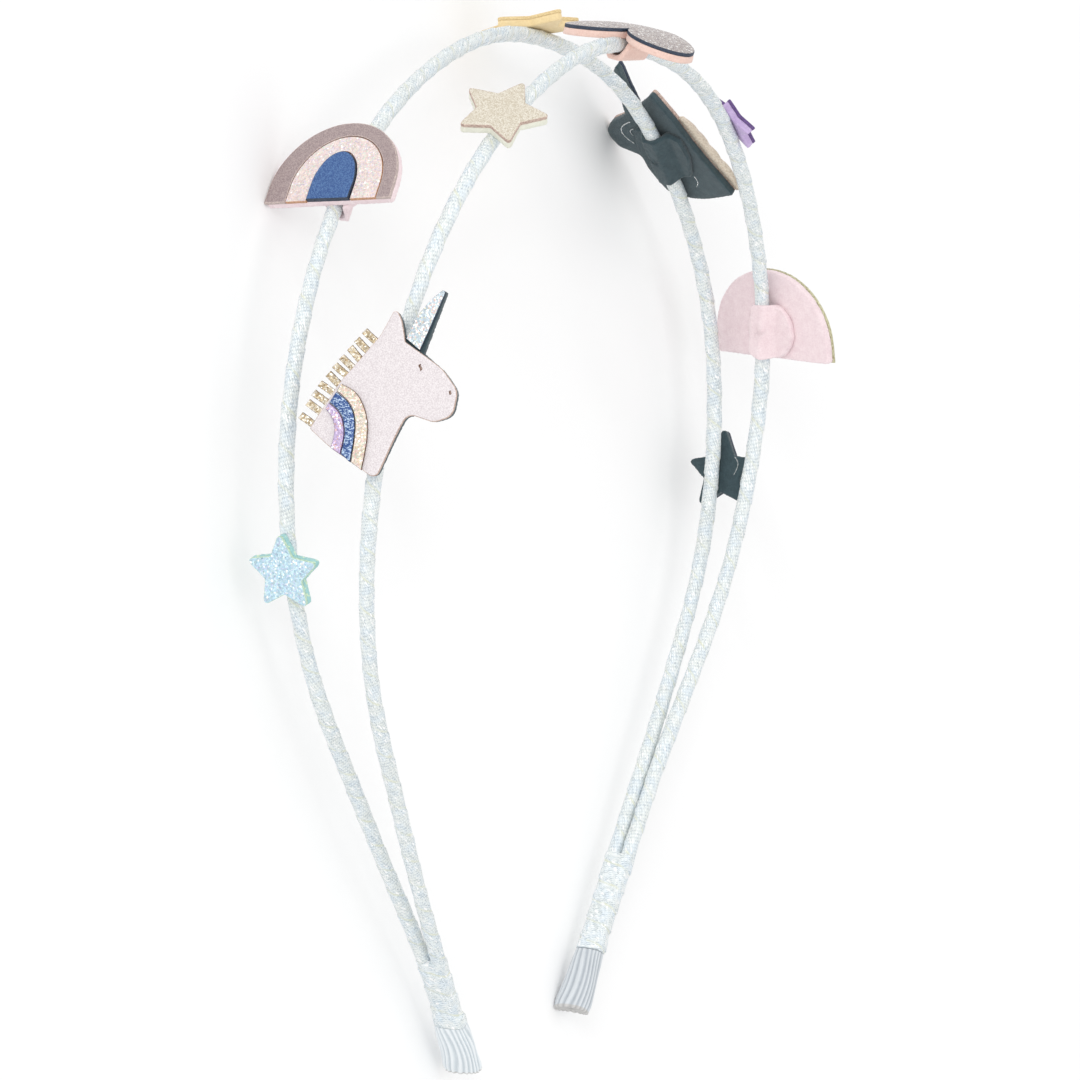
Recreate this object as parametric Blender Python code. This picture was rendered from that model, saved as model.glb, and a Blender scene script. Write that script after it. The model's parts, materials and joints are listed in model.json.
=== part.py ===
"""Double-strand hair band with ten small felt-backed decorations.

Metres, +Z up. The band lies on its side as it comes to rest on a table: +X runs from the near leg to
the far leg, +Y from the tips to the crown, +Z off the table. The shape is worked out in a band frame in
millimetres (x across the head, y from tips to crown, z from strand 1 to strand 2) and one empty turns
that frame into the resting pose.
"""

import math

import bmesh
import bpy
import numpy as np
from mathutils import Euler, Matrix, Vector

MM = 0.001

# ---------------------------------------------------------------- driving sizes, mm
STRAND_RADIUS = 1.05          # wire with its ribbon wrap
STRAND_FIRST, STRAND_LAST = 1.14, 18.70   # stations where the strands leave the joint wraps
STRAND_POINTS = 78
STRAND_LEAST_SPACING = 2.4    # centre to centre where the strands run side by side

JOINT_NEAR = (0.475, 1.11)    # stations of the joint wraps
JOINT_FAR = (18.73, 19.505)
TIP_NEAR = (0.0, 0.455)       # stations of the ribbed tip covers
TIP_FAR = (19.525, 20.0)

FELT = 1.0                    # felt back
SHEET = 0.5                   # leatherette or glitter front sheet
BAND_SHEET = 0.4              # neck bands that lie on a head sheet
STRAND_CLEARANCE = 0.3        # felt back to strand
SHEET_CLEARANCE = 0.12        # sheet to felt, and sheet to sheet in one plane
DISC_RADIUS, DISC_SHEET = 4.0, 1.0        # felt disc that holds a strand to a felt back

# Resting pose of the band frame on the table
REST_PITCH_DEG = 6.74
REST_ROLL_DEG = 1.66
REST_SHIFT = (-1.72, -69.63, 2.898)

# Midline of the band by station: x across the head, y from tips to crown, spacing between the strands
#           x      y     spacing
MIDLINE = (
    (-17.7,  -0.5,  2.4),
    (-27.1,  14.9,  2.4),
    (-37.6,  30.1,  4.1),
    (-47.8,  45.5,  6.5),
    (-57.0,  61.3,  9.0),
    (-61.5,  79.9, 11.8),
    (-59.3,  98.4, 14.1),
    (-50.5, 115.3, 15.9),
    (-36.3, 128.1, 17.0),
    (-18.8, 135.6, 17.1),
    (  0.0, 138.0, 16.1),
    ( 18.5, 134.4, 15.1),
    ( 35.4, 126.9, 13.7),
    ( 49.5, 114.4, 11.7),
    ( 59.5,  98.2,  9.3),
    ( 63.2,  80.2,  7.2),
    ( 59.2,  60.4,  4.9),
    ( 49.8,  45.1,  3.5),
    ( 38.0,  30.5,  2.4),
    ( 26.6,  15.7,  2.4),
    ( 15.4,   0.8,  2.4),
)

# Where each decoration sits: strand, station, then lean, pitch and turn in degrees, then its offset
# across and along the strand and its lift off it in mm
PLACES = {
    "blue_star":    (1,  4.76,  -0.7,   1.1,   -1.1,  0.1,  0.0,  0.0),
    "near_rainbow": (1,  7.61, -11.2,  -9.4,   -0.8,  0.0, -4.65, 0.25),
    "sand_star":    (1, 10.69, -17.2,  -0.4,   98.4, -1.2,  0.0,  0.0),
    "far_unicorn":  (1, 12.96,   9.7,   1.4,  184.8, -0.15, 0.4,  0.0),
    "dark_star":    (1, 15.56,   0.5,   4.0,  176.7,  1.0,  0.0,  0.0),
    "near_unicorn": (2,  6.05,   8.0,   0.0,    0.0,  0.0,  0.0,  0.0),
    "gold_star":    (2,  8.35,  13.2,  -4.0,   69.7, -0.25, 0.0,  0.0),
    "heart":        (2, 10.51,   7.9,  -5.4,  180.7,  0.75, 0.8,  0.25),
    "purple_star":  (2, 12.58,  29.4,   0.2, -178.7, -0.85, 0.0,  0.0),
    "far_rainbow":  (2, 14.44,  16.6,   5.0,  170.3,  0.3,  -5.2, 0.0),
}

STARS = {
    # radius to the points, share of it at the inner corners, rounding of the points
    "blue_star":   (5.7, 0.50, 0.45),
    "gold_star":   (6.5, 0.53, 0.40),
    "sand_star":   (7.7, 0.50, 0.55),
    "dark_star":   (5.8, 0.50, 0.40),
    "purple_star": (4.7, 0.50, 0.25),
}
# extra length of each point, mm, counterclockwise from the top one
STAR_POINTS = {"dark_star": (0.7, -0.5, -0.3, 0.2, -0.2)}

# Rainbow, mm: half width, height, height of the straight foot and sideways shift, from the middle of the lower edge
RAINBOW_OUTER = (10.0, 12.1, 2.3, 0.0)
RAINBOW_MIDDLE = (7.15, 9.9, 2.3, 0.6)
RAINBOW_INNER = (3.4, 7.5, 2.3, 0.2)
RAINBOW_SCALES = {"near_rainbow": 1.0, "far_rainbow": 1.04}

# Heart, mm: half width, height, and how much it droops (1/mm) across and along the strand
HEART_HALF_WIDTH, HEART_HEIGHT = 9.3, 17.2
HEART_BEND_ACROSS, HEART_BEND_ALONG = 0.032, 0.020

# Heads of the unicorns: x, y and corner rounding in mm, clockwise from the ear
#        x      y    rounding
HEAD = (
    (-0.8,  11.3, 0.45),   # ear tip
    ( 0.5,   9.7, 3.0),
    ( 1.35,  7.2, 0.3),    # foot of the ear
    ( 4.1,   6.0, 6.0),    # forehead
    ( 7.3,   4.55, 5.0),   # bridge of the nose
    ( 9.95,  2.15, 2.2),   # nose
    (10.0,  -1.2, 1.8),    # lip
    ( 7.6,  -2.5, 2.0),    # chin
    ( 3.9,  -2.0, 1.3),    # throat
    ( 2.9,  -5.3, 6.0),
    ( 2.2,  -8.3, 6.0),
    ( 1.5, -11.2, 0.9),    # front of the neck
    (-2.1,  -9.65, 8.0),
    (-5.4,  -8.3, 8.0),
    (-8.8,  -6.3, 0.35),   # back of the neck
    (-7.5,  -3.1, 8.0),
    (-6.3,   0.0, 8.0),
    (-4.1,   3.8, 8.0),
    (-2.1,   7.2, 8.0),
)
FAR_HEAD = (
    (-0.6,  11.3, 0.45),   # ear tip
    ( 0.5,   9.9, 3.0),
    ( 1.35,  7.9, 0.3),    # foot of the ear
    ( 3.6,   6.2, 4.0),    # forehead
    ( 6.7,   3.8, 5.0),    # bridge of the nose
    ( 8.5,   2.5, 3.0),
    ( 9.65,  0.7, 2.0),    # nose
    ( 9.55, -1.0, 1.8),    # lip
    ( 8.4,  -2.55, 1.5),   # chin
    ( 6.4,  -2.95, 2.0),
    ( 5.0,  -3.1, 0.9),    # throat
    ( 4.5,  -5.6, 6.0),
    ( 3.5,  -7.7, 6.0),
    ( 2.3,  -9.6, 0.9),    # front of the neck
    (-1.3,  -9.95, 8.0),
    (-4.6,  -8.9, 8.0),
    (-9.4,  -6.35, 0.35),  # back of the neck
    (-8.4,  -4.45, 8.0),
    (-7.1,  -2.2, 8.0),
    (-4.85,  2.3, 8.0),
    (-3.2,   6.4, 8.0),
)
#        x      y    rounding
HORNS = {
    "near_unicorn": (
        ( 1.5,   7.45, 0.15),
        ( 2.25, 10.6, 6.0),
        ( 3.75, 13.3, 6.0),
        ( 5.65, 15.3, 0.3),    # tip
        ( 4.0,   6.3, 0.15),
    ),
    "far_unicorn": (
        ( 1.95,  7.5, 0.15),
        ( 2.7,  11.2, 6.0),
        ( 3.2,  14.0, 4.0),
        ( 3.75, 15.9, 0.35),   # tip
        ( 4.65, 14.6, 0.8),
        ( 5.1,  11.4, 6.0),
        ( 5.15,  8.3, 6.0),
        ( 5.1,   5.3, 0.15),
    ),
}
# Line of the mane along the back of the neck, base to top
MANE = ((-8.8, -6.3), (-7.5, -3.1), (-6.3, 0.0), (-4.1, 3.8), (-2.1, 7.2))
FAR_MANE = ((-9.4, -6.35), (-8.4, -4.45), (-7.1, -2.2), (-4.85, 2.3), (-3.2, 6.4))
MANE_BARS, MANE_BAR_WIDTH, MANE_BAR_LENGTH, MANE_STRIP = 10, 1.05, 2.3, 0.45
MANE_WAVES, MANE_WAVE_DEPTH, MANE_WAVE_WIDTH = 5, 0.3, 1.95
# Neck bands: the curve of each edge from the mane side to the lower edge, outermost first
BAND_EDGES = (
    ((-5.75, 0.15), (-3.3, -0.8), (-1.5, -3.2), (-0.75, -5.7), (-0.55, -8.2), (-0.55, -9.9)),
    ((-6.2, -1.0), (-4.0, -2.3), (-2.8, -4.5), (-2.4, -7.1), (-2.3, -9.2)),
    ((-6.85, -2.6), (-5.1, -3.7), (-4.15, -5.4), (-3.85, -6.9), (-3.85, -8.5)),
    ((-7.2, -3.5), (-5.95, -4.7), (-5.35, -6.4), (-5.4, -7.95)),
)

# Joint wraps and tip covers: share of the length, width across both strands, thickness
#          share width thickness
JOINT_NEAR_SECTIONS = ((0.0, 4.45, 2.5), (0.35, 4.3, 2.45), (0.7, 4.25, 2.4), (1.0, 4.5, 2.35))
JOINT_FAR_SECTIONS = ((0.0, 4.45, 2.35), (0.3, 4.2, 2.4), (0.7, 4.0, 2.4), (1.0, 3.7, 2.4))
TIP_NEAR_SECTIONS = ((0.0, 5.2, 2.1), (0.08, 5.35, 2.5), (0.5, 4.75, 2.7), (0.9, 4.6, 2.75), (1.0, 4.45, 2.5))
TIP_FAR_SECTIONS = ((0.0, 3.9, 2.5), (0.1, 4.2, 2.75), (0.5, 4.6, 2.7), (0.92, 5.2, 2.5), (1.0, 5.0, 2.1))
SECTION_CORNERS = 5

# ---------------------------------------------------------------- scene and materials
for old in list(bpy.data.objects):
    bpy.data.objects.remove(old, do_unlink=True)

parts = bpy.data.collections.new("unicorn_headband")
bpy.context.scene.collection.children.link(parts)


def material(name, colour, roughness, metallic=0.0):
    made = bpy.data.materials.new(name)
    made.use_nodes = True
    shader = made.node_tree.nodes["Principled BSDF"]
    shader.inputs["Base Color"].default_value = (*colour, 1.0)
    shader.inputs["Roughness"].default_value = roughness
    shader.inputs["Metallic"].default_value = metallic
    made.diffuse_color = (*colour, 1.0)
    return made


RIBBON = material("silver_ribbon", (0.80, 0.84, 0.86), 0.35, 0.2)
GROSGRAIN = material("white_ribbed_ribbon", (0.86, 0.88, 0.90), 0.55)
DARK_FELT = material("dark_felt", (0.045, 0.065, 0.08), 0.95)
PINK_FELT = material("pink_felt", (0.83, 0.60, 0.62), 0.95)
TEAL_FELT = material("teal_felt", (0.36, 0.72, 0.70), 0.95)
LIME_FELT = material("pale_lime_felt", (0.85, 0.90, 0.70), 0.95)
SAND_FELT = material("sand_felt", (0.83, 0.68, 0.38), 0.95)
PURPLE_FELT = material("purple_felt", (0.48, 0.32, 0.62), 0.95)
BLUE_GLITTER = material("blue_glitter", (0.48, 0.74, 0.86), 0.3, 0.4)
GOLD_GRAIN = material("gold_leatherette", (0.78, 0.70, 0.58), 0.4, 0.5)
SAND_SHEET = material("sand_glitter", (0.82, 0.68, 0.42), 0.4, 0.4)
DARK_SHEET = material("dark_glitter", (0.06, 0.08, 0.11), 0.35, 0.4)
PURPLE_SHEET = material("purple_leatherette", (0.30, 0.15, 0.42), 0.4, 0.3)
MAUVE = material("mauve_leatherette", (0.52, 0.40, 0.41), 0.5)
PINK_GLITTER = material("pink_glitter", (0.80, 0.68, 0.66), 0.3, 0.3)
BLUE_SHEET = material("blue_leatherette", (0.10, 0.19, 0.42), 0.4)
HEAD_SHEET = material("pearl_leatherette", (0.85, 0.78, 0.80), 0.4, 0.2)
HORN_SHEET = material("silver_glitter", (0.72, 0.74, 0.74), 0.25, 0.6)
MANE_SHEET = material("gold_glitter", (0.62, 0.53, 0.36), 0.35, 0.6)
PEACH_GLITTER = material("peach_glitter", (0.84, 0.70, 0.54), 0.3, 0.4)
LILAC_GLITTER = material("lilac_glitter", (0.60, 0.50, 0.72), 0.3, 0.4)
ROSE_GLITTER = material("rose_glitter", (0.52, 0.40, 0.41), 0.35, 0.4)


# ---------------------------------------------------------------- curves of the band
def natural_spline(values):
    """Coefficients of the cubic through values at 0, 1, 2 ... with no curvature at its ends."""
    values = np.asarray(values, float)
    count = len(values)
    system = np.eye(count)
    right = np.zeros(values.shape)
    for i in range(1, count - 1):
        system[i, i - 1:i + 2] = (1.0, 4.0, 1.0)
        right[i] = 6.0 * (values[i - 1] - 2.0 * values[i] + values[i + 1])
    bend = np.linalg.solve(system, right)

    def at(u):
        i = int(min(max(math.floor(u), 0), count - 2))
        f = u - i
        g = 1.0 - f
        return (
            g * values[i] + f * values[i + 1]
            + ((g ** 3 - g) * bend[i] + (f ** 3 - f) * bend[i + 1]) / 6.0
        )

    return at


midline = natural_spline(MIDLINE)


def strand_point(strand, station):
    """Centre of strand 1 or 2, or of the pair for 0, in the band frame."""
    x, y, spacing = midline(station)
    spacing = max(float(spacing), STRAND_LEAST_SPACING)
    side = {0: 0.0, 1: -0.5, 2: 0.5}[strand]
    return Vector((float(x), float(y), side * spacing))


def strand_axes(strand, station):
    """Tangent toward the far leg, outward normal and side direction of a strand at a station."""
    step = 0.01
    tangent = (strand_point(strand, station + step) - strand_point(strand, station - step)).normalized()
    outward = Vector((-tangent.y, tangent.x, 0.0)).normalized()
    side = Vector((0.0, 0.0, 1.0))
    side = (side - tangent * side.dot(tangent)).normalized()
    outward = (outward - tangent * outward.dot(tangent)).normalized()
    return tangent, outward, side


def plaque_matrix(strand, station, lean, pitch, turn, across, along, lift):
    """Frame on the outer side of a strand: x across it, y along it, z outward, origin on its surface."""
    lean, pitch, turn = math.radians(lean), math.radians(pitch), math.radians(turn)
    tangent, outward, side = strand_axes(strand, station)
    x_axis = side * math.cos(lean) - outward * math.sin(lean)
    z_axis = outward * math.cos(lean) + side * math.sin(lean)
    y_axis = tangent * math.cos(pitch) - z_axis * math.sin(pitch)
    z_axis = z_axis * math.cos(pitch) + tangent * math.sin(pitch)
    origin = strand_point(strand, station) + z_axis * (STRAND_RADIUS + lift) + x_axis * across
    turned_x = x_axis * math.cos(turn) + y_axis * math.sin(turn)
    turned_y = y_axis * math.cos(turn) - x_axis * math.sin(turn)
    origin = origin + turned_y * along
    frame = Matrix((turned_x, turned_y, z_axis)).transposed().to_4x4()
    frame.translation = origin * MM
    return frame


# ---------------------------------------------------------------- resting pose
rest = bpy.data.objects.new("band_rest_pose", None)
rest.empty_display_size = 0.01
rest.rotation_euler = Euler((math.radians(REST_PITCH_DEG), math.radians(REST_ROLL_DEG), 0.0), "XYZ")
rest.location = Vector(REST_SHIFT) * MM
parts.objects.link(rest)

plaques = {}
for plaque, place in PLACES.items():
    holder = bpy.data.objects.new(plaque + "_place", None)
    holder.empty_display_size = 0.004
    holder.parent = rest
    frame = plaque_matrix(*place)
    holder.location = frame.translation
    holder.rotation_euler = frame.to_euler()
    parts.objects.link(holder)
    plaques[plaque] = holder


def add(name, data, look, parent, location=(0.0, 0.0, 0.0)):
    made = bpy.data.objects.new(name, data)
    data.materials.append(look)
    made.parent = parent
    made.location = Vector(location) * MM
    parts.objects.link(made)
    return made


# ---------------------------------------------------------------- strands
def strand_tube(name, strand):
    curve = bpy.data.curves.new(name, "CURVE")
    curve.dimensions = "3D"
    curve.bevel_depth = STRAND_RADIUS * MM
    curve.bevel_resolution = 2
    curve.use_fill_caps = True
    spline = curve.splines.new("POLY")
    spline.points.add(STRAND_POINTS - 1)
    for i in range(STRAND_POINTS):
        station = STRAND_FIRST + (STRAND_LAST - STRAND_FIRST) * i / (STRAND_POINTS - 1)
        spline.points[i].co = (*(strand_point(strand, station) * MM), 1.0)
    return add(name, curve, RIBBON, rest)


strand_tube("strand_1", 1)
strand_tube("strand_2", 2)


# ---------------------------------------------------------------- joint wraps and tip covers
def oval_section(width, thickness, share):
    """Outline of a rounded bar: two flat sides with round ends, or rounder corners for share under 1."""
    radius = share * min(width, thickness) / 2.0
    points = []
    for corner, (cx, cy) in enumerate(((1, 1), (-1, 1), (-1, -1), (1, -1))):
        for step in range(SECTION_CORNERS):
            angle = math.pi / 2.0 * (corner + step / (SECTION_CORNERS - 1))
            points.append((
                cx * (width / 2.0 - radius) + radius * math.cos(angle),
                cy * (thickness / 2.0 - radius) + radius * math.sin(angle),
            ))
    return points


def section_loft(name, look, stations, sections, roundness):
    """Solid through changing sections that follow the midline."""
    shape = bmesh.new()
    rings = []
    first, last = stations
    steps = 12
    shares = [s[0] for s in sections]
    for i in range(steps + 1):
        share = i / steps
        width = float(np.interp(share, shares, [s[1] for s in sections]))
        thickness = float(np.interp(share, shares, [s[2] for s in sections]))
        station = first + (last - first) * share
        tangent, outward, side = strand_axes(0, station)
        centre = strand_point(0, station)
        ring = []
        for a, b in oval_section(width, thickness, roundness):
            ring.append(shape.verts.new((centre + side * a + outward * b) * MM))
        rings.append(ring)
    count = len(rings[0])
    for lower, upper in zip(rings, rings[1:]):
        for j in range(count):
            k = (j + 1) % count
            shape.faces.new((lower[j], lower[k], upper[k], upper[j]))
    shape.faces.new(list(reversed(rings[0])))
    shape.faces.new(rings[-1])
    bmesh.ops.remove_doubles(shape, verts=shape.verts, dist=1e-6)
    bmesh.ops.recalc_face_normals(shape, faces=shape.faces)
    mesh = bpy.data.meshes.new(name)
    shape.to_mesh(mesh)
    shape.free()
    return add(name, mesh, look, rest)


section_loft("near_joint_wrap", RIBBON, JOINT_NEAR, JOINT_NEAR_SECTIONS, 0.98)
section_loft("far_joint_wrap", RIBBON, JOINT_FAR, JOINT_FAR_SECTIONS, 0.98)
section_loft("near_tip_cover", GROSGRAIN, TIP_NEAR, TIP_NEAR_SECTIONS, 0.8)
section_loft("far_tip_cover", GROSGRAIN, TIP_FAR, TIP_FAR_SECTIONS, 0.8)


# ---------------------------------------------------------------- flat outlines
def rounded(corners, steps=4):
    """Closed outline through corners (x, y, rounding), each corner replaced by an arc."""
    points = []
    count = len(corners)
    for i, (x, y, radius) in enumerate(corners):
        here = Vector((x, y))
        before = Vector(corners[i - 1][:2]) - here
        after = Vector(corners[(i + 1) % count][:2]) - here
        reach = 0.48 * min(before.length, after.length)
        before.normalize()
        after.normalize()
        half = before.angle(after) / 2.0
        if radius <= 0.0 or half > math.radians(87.5):
            points.append(here)
            continue
        cut = min(radius / math.tan(half), reach)
        radius = cut * math.tan(half)
        centre = here + (before + after).normalized() * (radius / math.sin(half))
        start = here + before * cut - centre
        end = here + after * cut - centre
        sweep = start.angle_signed(end)
        for step in range(steps + 1):
            angle = -sweep * step / steps
            points.append(centre + Vector((
                start.x * math.cos(angle) - start.y * math.sin(angle),
                start.x * math.sin(angle) + start.y * math.cos(angle),
            )))
    return [(p.x, p.y) for p in points]


def flat_piece(name, outline, thickness, height, look, plaque):
    """Flat sheet of an outline, its lower face at a height above the strand's surface."""
    curve = bpy.data.curves.new(name, "CURVE")
    curve.dimensions = "2D"
    curve.fill_mode = "BOTH"
    curve.extrude = thickness / 2.0 * MM
    spline = curve.splines.new("POLY")
    spline.points.add(len(outline) - 1)
    for point, (x, y) in zip(spline.points, outline):
        point.co = (x * MM, y * MM, 0.0, 1.0)
    spline.use_cyclic_u = True
    return add(name, curve, look, plaques[plaque], (0.0, 0.0, height + thickness / 2.0))


FELT_LOW = STRAND_CLEARANCE
SHEET_LOW = FELT_LOW + FELT + SHEET_CLEARANCE
BAND_LOW = SHEET_LOW + SHEET + SHEET_CLEARANCE


# ---------------------------------------------------------------- stars
def star_outline(radius, inner_share, rounding, points=(0.0,) * 5):
    corners = []
    for i in range(10):
        angle = math.radians(90.0 + 36.0 * i)
        length = radius + points[i // 2] if i % 2 == 0 else radius * inner_share
        corners.append((length * math.cos(angle), length * math.sin(angle), rounding if i % 2 == 0 else 0.3))
    return rounded(corners, 3)


STAR_LOOKS = {
    "blue_star": (TEAL_FELT, BLUE_GLITTER),
    "gold_star": (LIME_FELT, GOLD_GRAIN),
    "sand_star": (SAND_FELT, SAND_SHEET),
    "dark_star": (DARK_FELT, DARK_SHEET),
    "purple_star": (PURPLE_FELT, PURPLE_SHEET),
}
for star, sizes in STARS.items():
    outline = star_outline(*sizes, STAR_POINTS.get(star, (0.0,) * 5))
    felt_look, sheet_look = STAR_LOOKS[star]
    flat_piece(star + "_felt", outline, FELT, FELT_LOW, felt_look, star)
    flat_piece(star + "_front", outline, SHEET, SHEET_LOW, sheet_look, star)


# ---------------------------------------------------------------- rainbows
def arch(half_width, height, foot, shift, shrink=0.0, steps=28):
    """Half-oval outline on a straight foot, from its right corner round to its left corner."""
    half_width, top = half_width - shrink, height - foot - shrink
    return [
        (shift + half_width * math.cos(math.pi * i / steps), foot + top * math.sin(math.pi * i / steps))
        for i in range(steps + 1)
    ]


def solid_arch(sizes, corner=0.5):
    width, shift = sizes[0], sizes[3]
    curve = [(x, y, 0.0) for x, y in arch(*sizes)]
    return rounded([(shift + width, 0.0, corner)] + curve + [(shift - width, 0.0, corner)], 3)


def arch_band(outer, inner):
    """Band between two arches, leaving a clearance to the inner one."""
    outside = [(outer[3] + outer[0], 0.0)] + arch(*outer) + [(outer[3] - outer[0], 0.0)]
    inner_edge = arch(*inner, shrink=-SHEET_CLEARANCE)
    foot = inner[0] + SHEET_CLEARANCE
    inside = [(inner[3] - foot, 0.0)] + list(reversed(inner_edge)) + [(inner[3] + foot, 0.0)]
    return outside + inside


def smooth_share(value, full, none):
    """1 up to full, 0 from none, eased between."""
    share = min(max((none - value) / (none - full), 0.0), 1.0)
    return share * share * (3.0 - 2.0 * share)


def polar_grid(rings, spokes, outline):
    """Sheet of rings around a middle point; outline gives the rim point (x, y) in mm for an angle."""
    shape = bmesh.new()
    bmesh.ops.create_grid(shape, x_segments=rings, y_segments=spokes, size=0.5)
    for vertex in shape.verts:
        reach = vertex.co.x + 0.5
        x, y = outline((vertex.co.y + 0.5) * 2.0 * math.pi)
        vertex.co = Vector((reach * x * MM, reach * y * MM, 0.0))
    bmesh.ops.remove_doubles(shape, verts=shape.verts, dist=1e-6)
    return shape


def thick_sheet(name, shape, upper, lower, look, plaque):
    """Solid between two heights above the points of a flat sheet."""
    bottom = list(shape.verts)
    made = bmesh.ops.extrude_face_region(shape, geom=list(shape.faces))
    top = [v for v in made["geom"] if isinstance(v, bmesh.types.BMVert)]
    for vertices, height in ((bottom, lower), (top, upper)):
        for vertex in vertices:
            vertex.co.z = height(vertex.co.x / MM, vertex.co.y / MM) * MM
    bmesh.ops.recalc_face_normals(shape, faces=shape.faces)
    mesh = bpy.data.meshes.new(name)
    shape.to_mesh(mesh)
    shape.free()
    return add(name, mesh, look, plaques[plaque])


def domed_disc(name, plaque, look, centre, radius=DISC_RADIUS, bend=(0.0, 0.0)):
    """Felt disc glued over the strand: flat rim on the felt back, raised where it crosses the strand.

    It lies on the strand side of the plaque, so it rises toward the wearer, which is down in its frame.
    """
    turn = math.radians(PLACES[plaque][4])
    across_shift, along_shift, lift = PLACES[plaque][5:]
    rim = FELT_LOW - SHEET_CLEARANCE
    rise = 2.0 * STRAND_RADIUS + 3.0 * STRAND_CLEARANCE + lift

    def from_strand(x, y):
        return abs(x * math.cos(turn) - (y + along_shift) * math.sin(turn) + across_shift)

    def droop(x, y):
        return (bend[0] * x * x + bend[1] * y * y) / 2.0

    def upper(x, y):
        return rim - droop(x, y) - rise * smooth_share(from_strand(x, y), 1.5, 2.5)

    def lower(x, y):
        return rim - DISC_SHEET - droop(x, y) - rise * smooth_share(from_strand(x, y), 1.8, 3.8)

    shape = polar_grid(8, 25, lambda angle: (radius * math.cos(angle), radius * math.sin(angle)))
    bmesh.ops.translate(shape, verts=shape.verts, vec=(centre[0] * MM, centre[1] * MM, 0.0))
    return thick_sheet(name, shape, upper, lower, look, plaque)


for rainbow, scale in RAINBOW_SCALES.items():
    outer, middle, inner = (
        tuple(scale * size for size in sizes) for sizes in (RAINBOW_OUTER, RAINBOW_MIDDLE, RAINBOW_INNER)
    )
    flat_piece(rainbow + "_felt", solid_arch(outer), FELT, FELT_LOW, PINK_FELT, rainbow)
    flat_piece(rainbow + "_outer_band", arch_band(outer, middle), SHEET, SHEET_LOW, MAUVE, rainbow)
    flat_piece(rainbow + "_middle_band", arch_band(middle, inner), SHEET, SHEET_LOW, PINK_GLITTER, rainbow)
    flat_piece(rainbow + "_inner_half_disc", solid_arch(inner, 0.1), SHEET, SHEET_LOW, BLUE_SHEET, rainbow)
domed_disc("near_rainbow_disc", "near_rainbow", PINK_FELT, (0.6, 2.7), 3.8)
domed_disc("far_rainbow_disc", "far_rainbow", PINK_FELT, (-0.55, 4.2), 4.1)


# ---------------------------------------------------------------- unicorn heads
def line_at(points, share):
    """Point and left-hand normal at a share of a polyline's length."""
    points = [Vector(p) for p in points]
    lengths = [(b - a).length for a, b in zip(points, points[1:])]
    left = share * sum(lengths)
    for a, b, length in zip(points, points[1:], lengths):
        if left <= length or b is points[-1]:
            direction = (b - a) / length
            return a + direction * left, Vector((-direction.y, direction.x))
        left -= length


def smooth_line(points, steps=5):
    """Curve through points, read at even steps."""
    at = natural_spline([tuple(p) for p in points])
    last = len(points) - 1
    return [tuple(float(v) for v in at(last * i / (last * steps))) for i in range(last * steps + 1)]


def mane_comb():
    """Strip along the back of the neck with bars that stand out from it."""
    line = smooth_line(MANE)
    length = sum((Vector(b) - Vector(a)).length for a, b in zip(line, line[1:]))
    half = MANE_BAR_WIDTH / 2.0 / length
    points = []
    for i in range(MANE_BARS):
        middle = 0.035 + 0.93 * i / (MANE_BARS - 1)
        for share, out in ((middle - half, 0), (middle - half, 1), (middle + half, 1), (middle + half, 0)):
            point, normal = line_at(line, share)
            reach = MANE_STRIP if out == 0 else MANE_BAR_LENGTH
            points.append(point + normal * (SHEET_CLEARANCE + reach))
    base = [line_at(line, s / 12.0) for s in range(12, -1, -1)]
    points += [point + normal * SHEET_CLEARANCE for point, normal in base]
    return [(p.x, p.y) for p in points]


def mane_wave():
    """Strip along the back of the neck with a wavy outer edge."""
    line = smooth_line(FAR_MANE)
    points = []
    for i in range(41):
        share = i / 40.0
        point, normal = line_at(line, share)
        wave = MANE_WAVE_DEPTH * abs(math.sin(math.pi * MANE_WAVES * share))
        fade = min(1.0, 0.45 + 3.0 * min(share, 1.0 - share))
        points.append(point + normal * (SHEET_CLEARANCE + (MANE_WAVE_WIDTH - MANE_WAVE_DEPTH) * fade + wave))
    base = [line_at(line, s / 12.0) for s in range(12, -1, -1)]
    points += [point + normal * SHEET_CLEARANCE for point, normal in base]
    return [(p.x, p.y) for p in points]


def neck_band(outer, inner):
    """Band between two edge curves, leaving a clearance to the next band."""
    outside, inside = smooth_line(outer), smooth_line(inner)
    shrunk = []
    for i in range(len(inside)):
        point, normal = line_at(inside, i / (len(inside) - 1))
        shrunk.append(point + normal * SHEET_CLEARANCE)
    return outside + [(p.x, p.y) for p in reversed(shrunk)]


for unicorn, horn_corners in HORNS.items():
    corners = HEAD if unicorn == "near_unicorn" else FAR_HEAD
    # the felt back is one piece: the head with the horn standing on it in place of the forehead corner
    foot_back = (horn_corners[0][0] - 0.05, horn_corners[0][1] - 0.05, 0.25)
    foot_front = (horn_corners[-1][0] + 0.15, horn_corners[-1][1] - 0.05, 0.2)
    outline = corners[:2] + (foot_back,) + horn_corners[1:-1] + (foot_front,) + corners[4:]
    flat_piece(unicorn + "_felt", rounded(outline), FELT, FELT_LOW, DARK_FELT, unicorn)
    flat_piece(unicorn + "_head", rounded(corners), SHEET, SHEET_LOW, HEAD_SHEET, unicorn)
    flat_piece(unicorn + "_horn", rounded(horn_corners), SHEET, SHEET_LOW, HORN_SHEET, unicorn)
    for band, look, outer, inner in (
        ("outer_neck_band", PEACH_GLITTER, BAND_EDGES[0], BAND_EDGES[1]),
        ("middle_neck_band", BLUE_SHEET, BAND_EDGES[1], BAND_EDGES[2]),
        ("inner_neck_band", LILAC_GLITTER, BAND_EDGES[2], BAND_EDGES[3]),
    ):
        flat_piece(f"{unicorn}_{band}", neck_band(outer, inner), BAND_SHEET, BAND_LOW, look, unicorn)
flat_piece("near_unicorn_mane", mane_comb(), SHEET, SHEET_LOW, MANE_SHEET, "near_unicorn")
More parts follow.
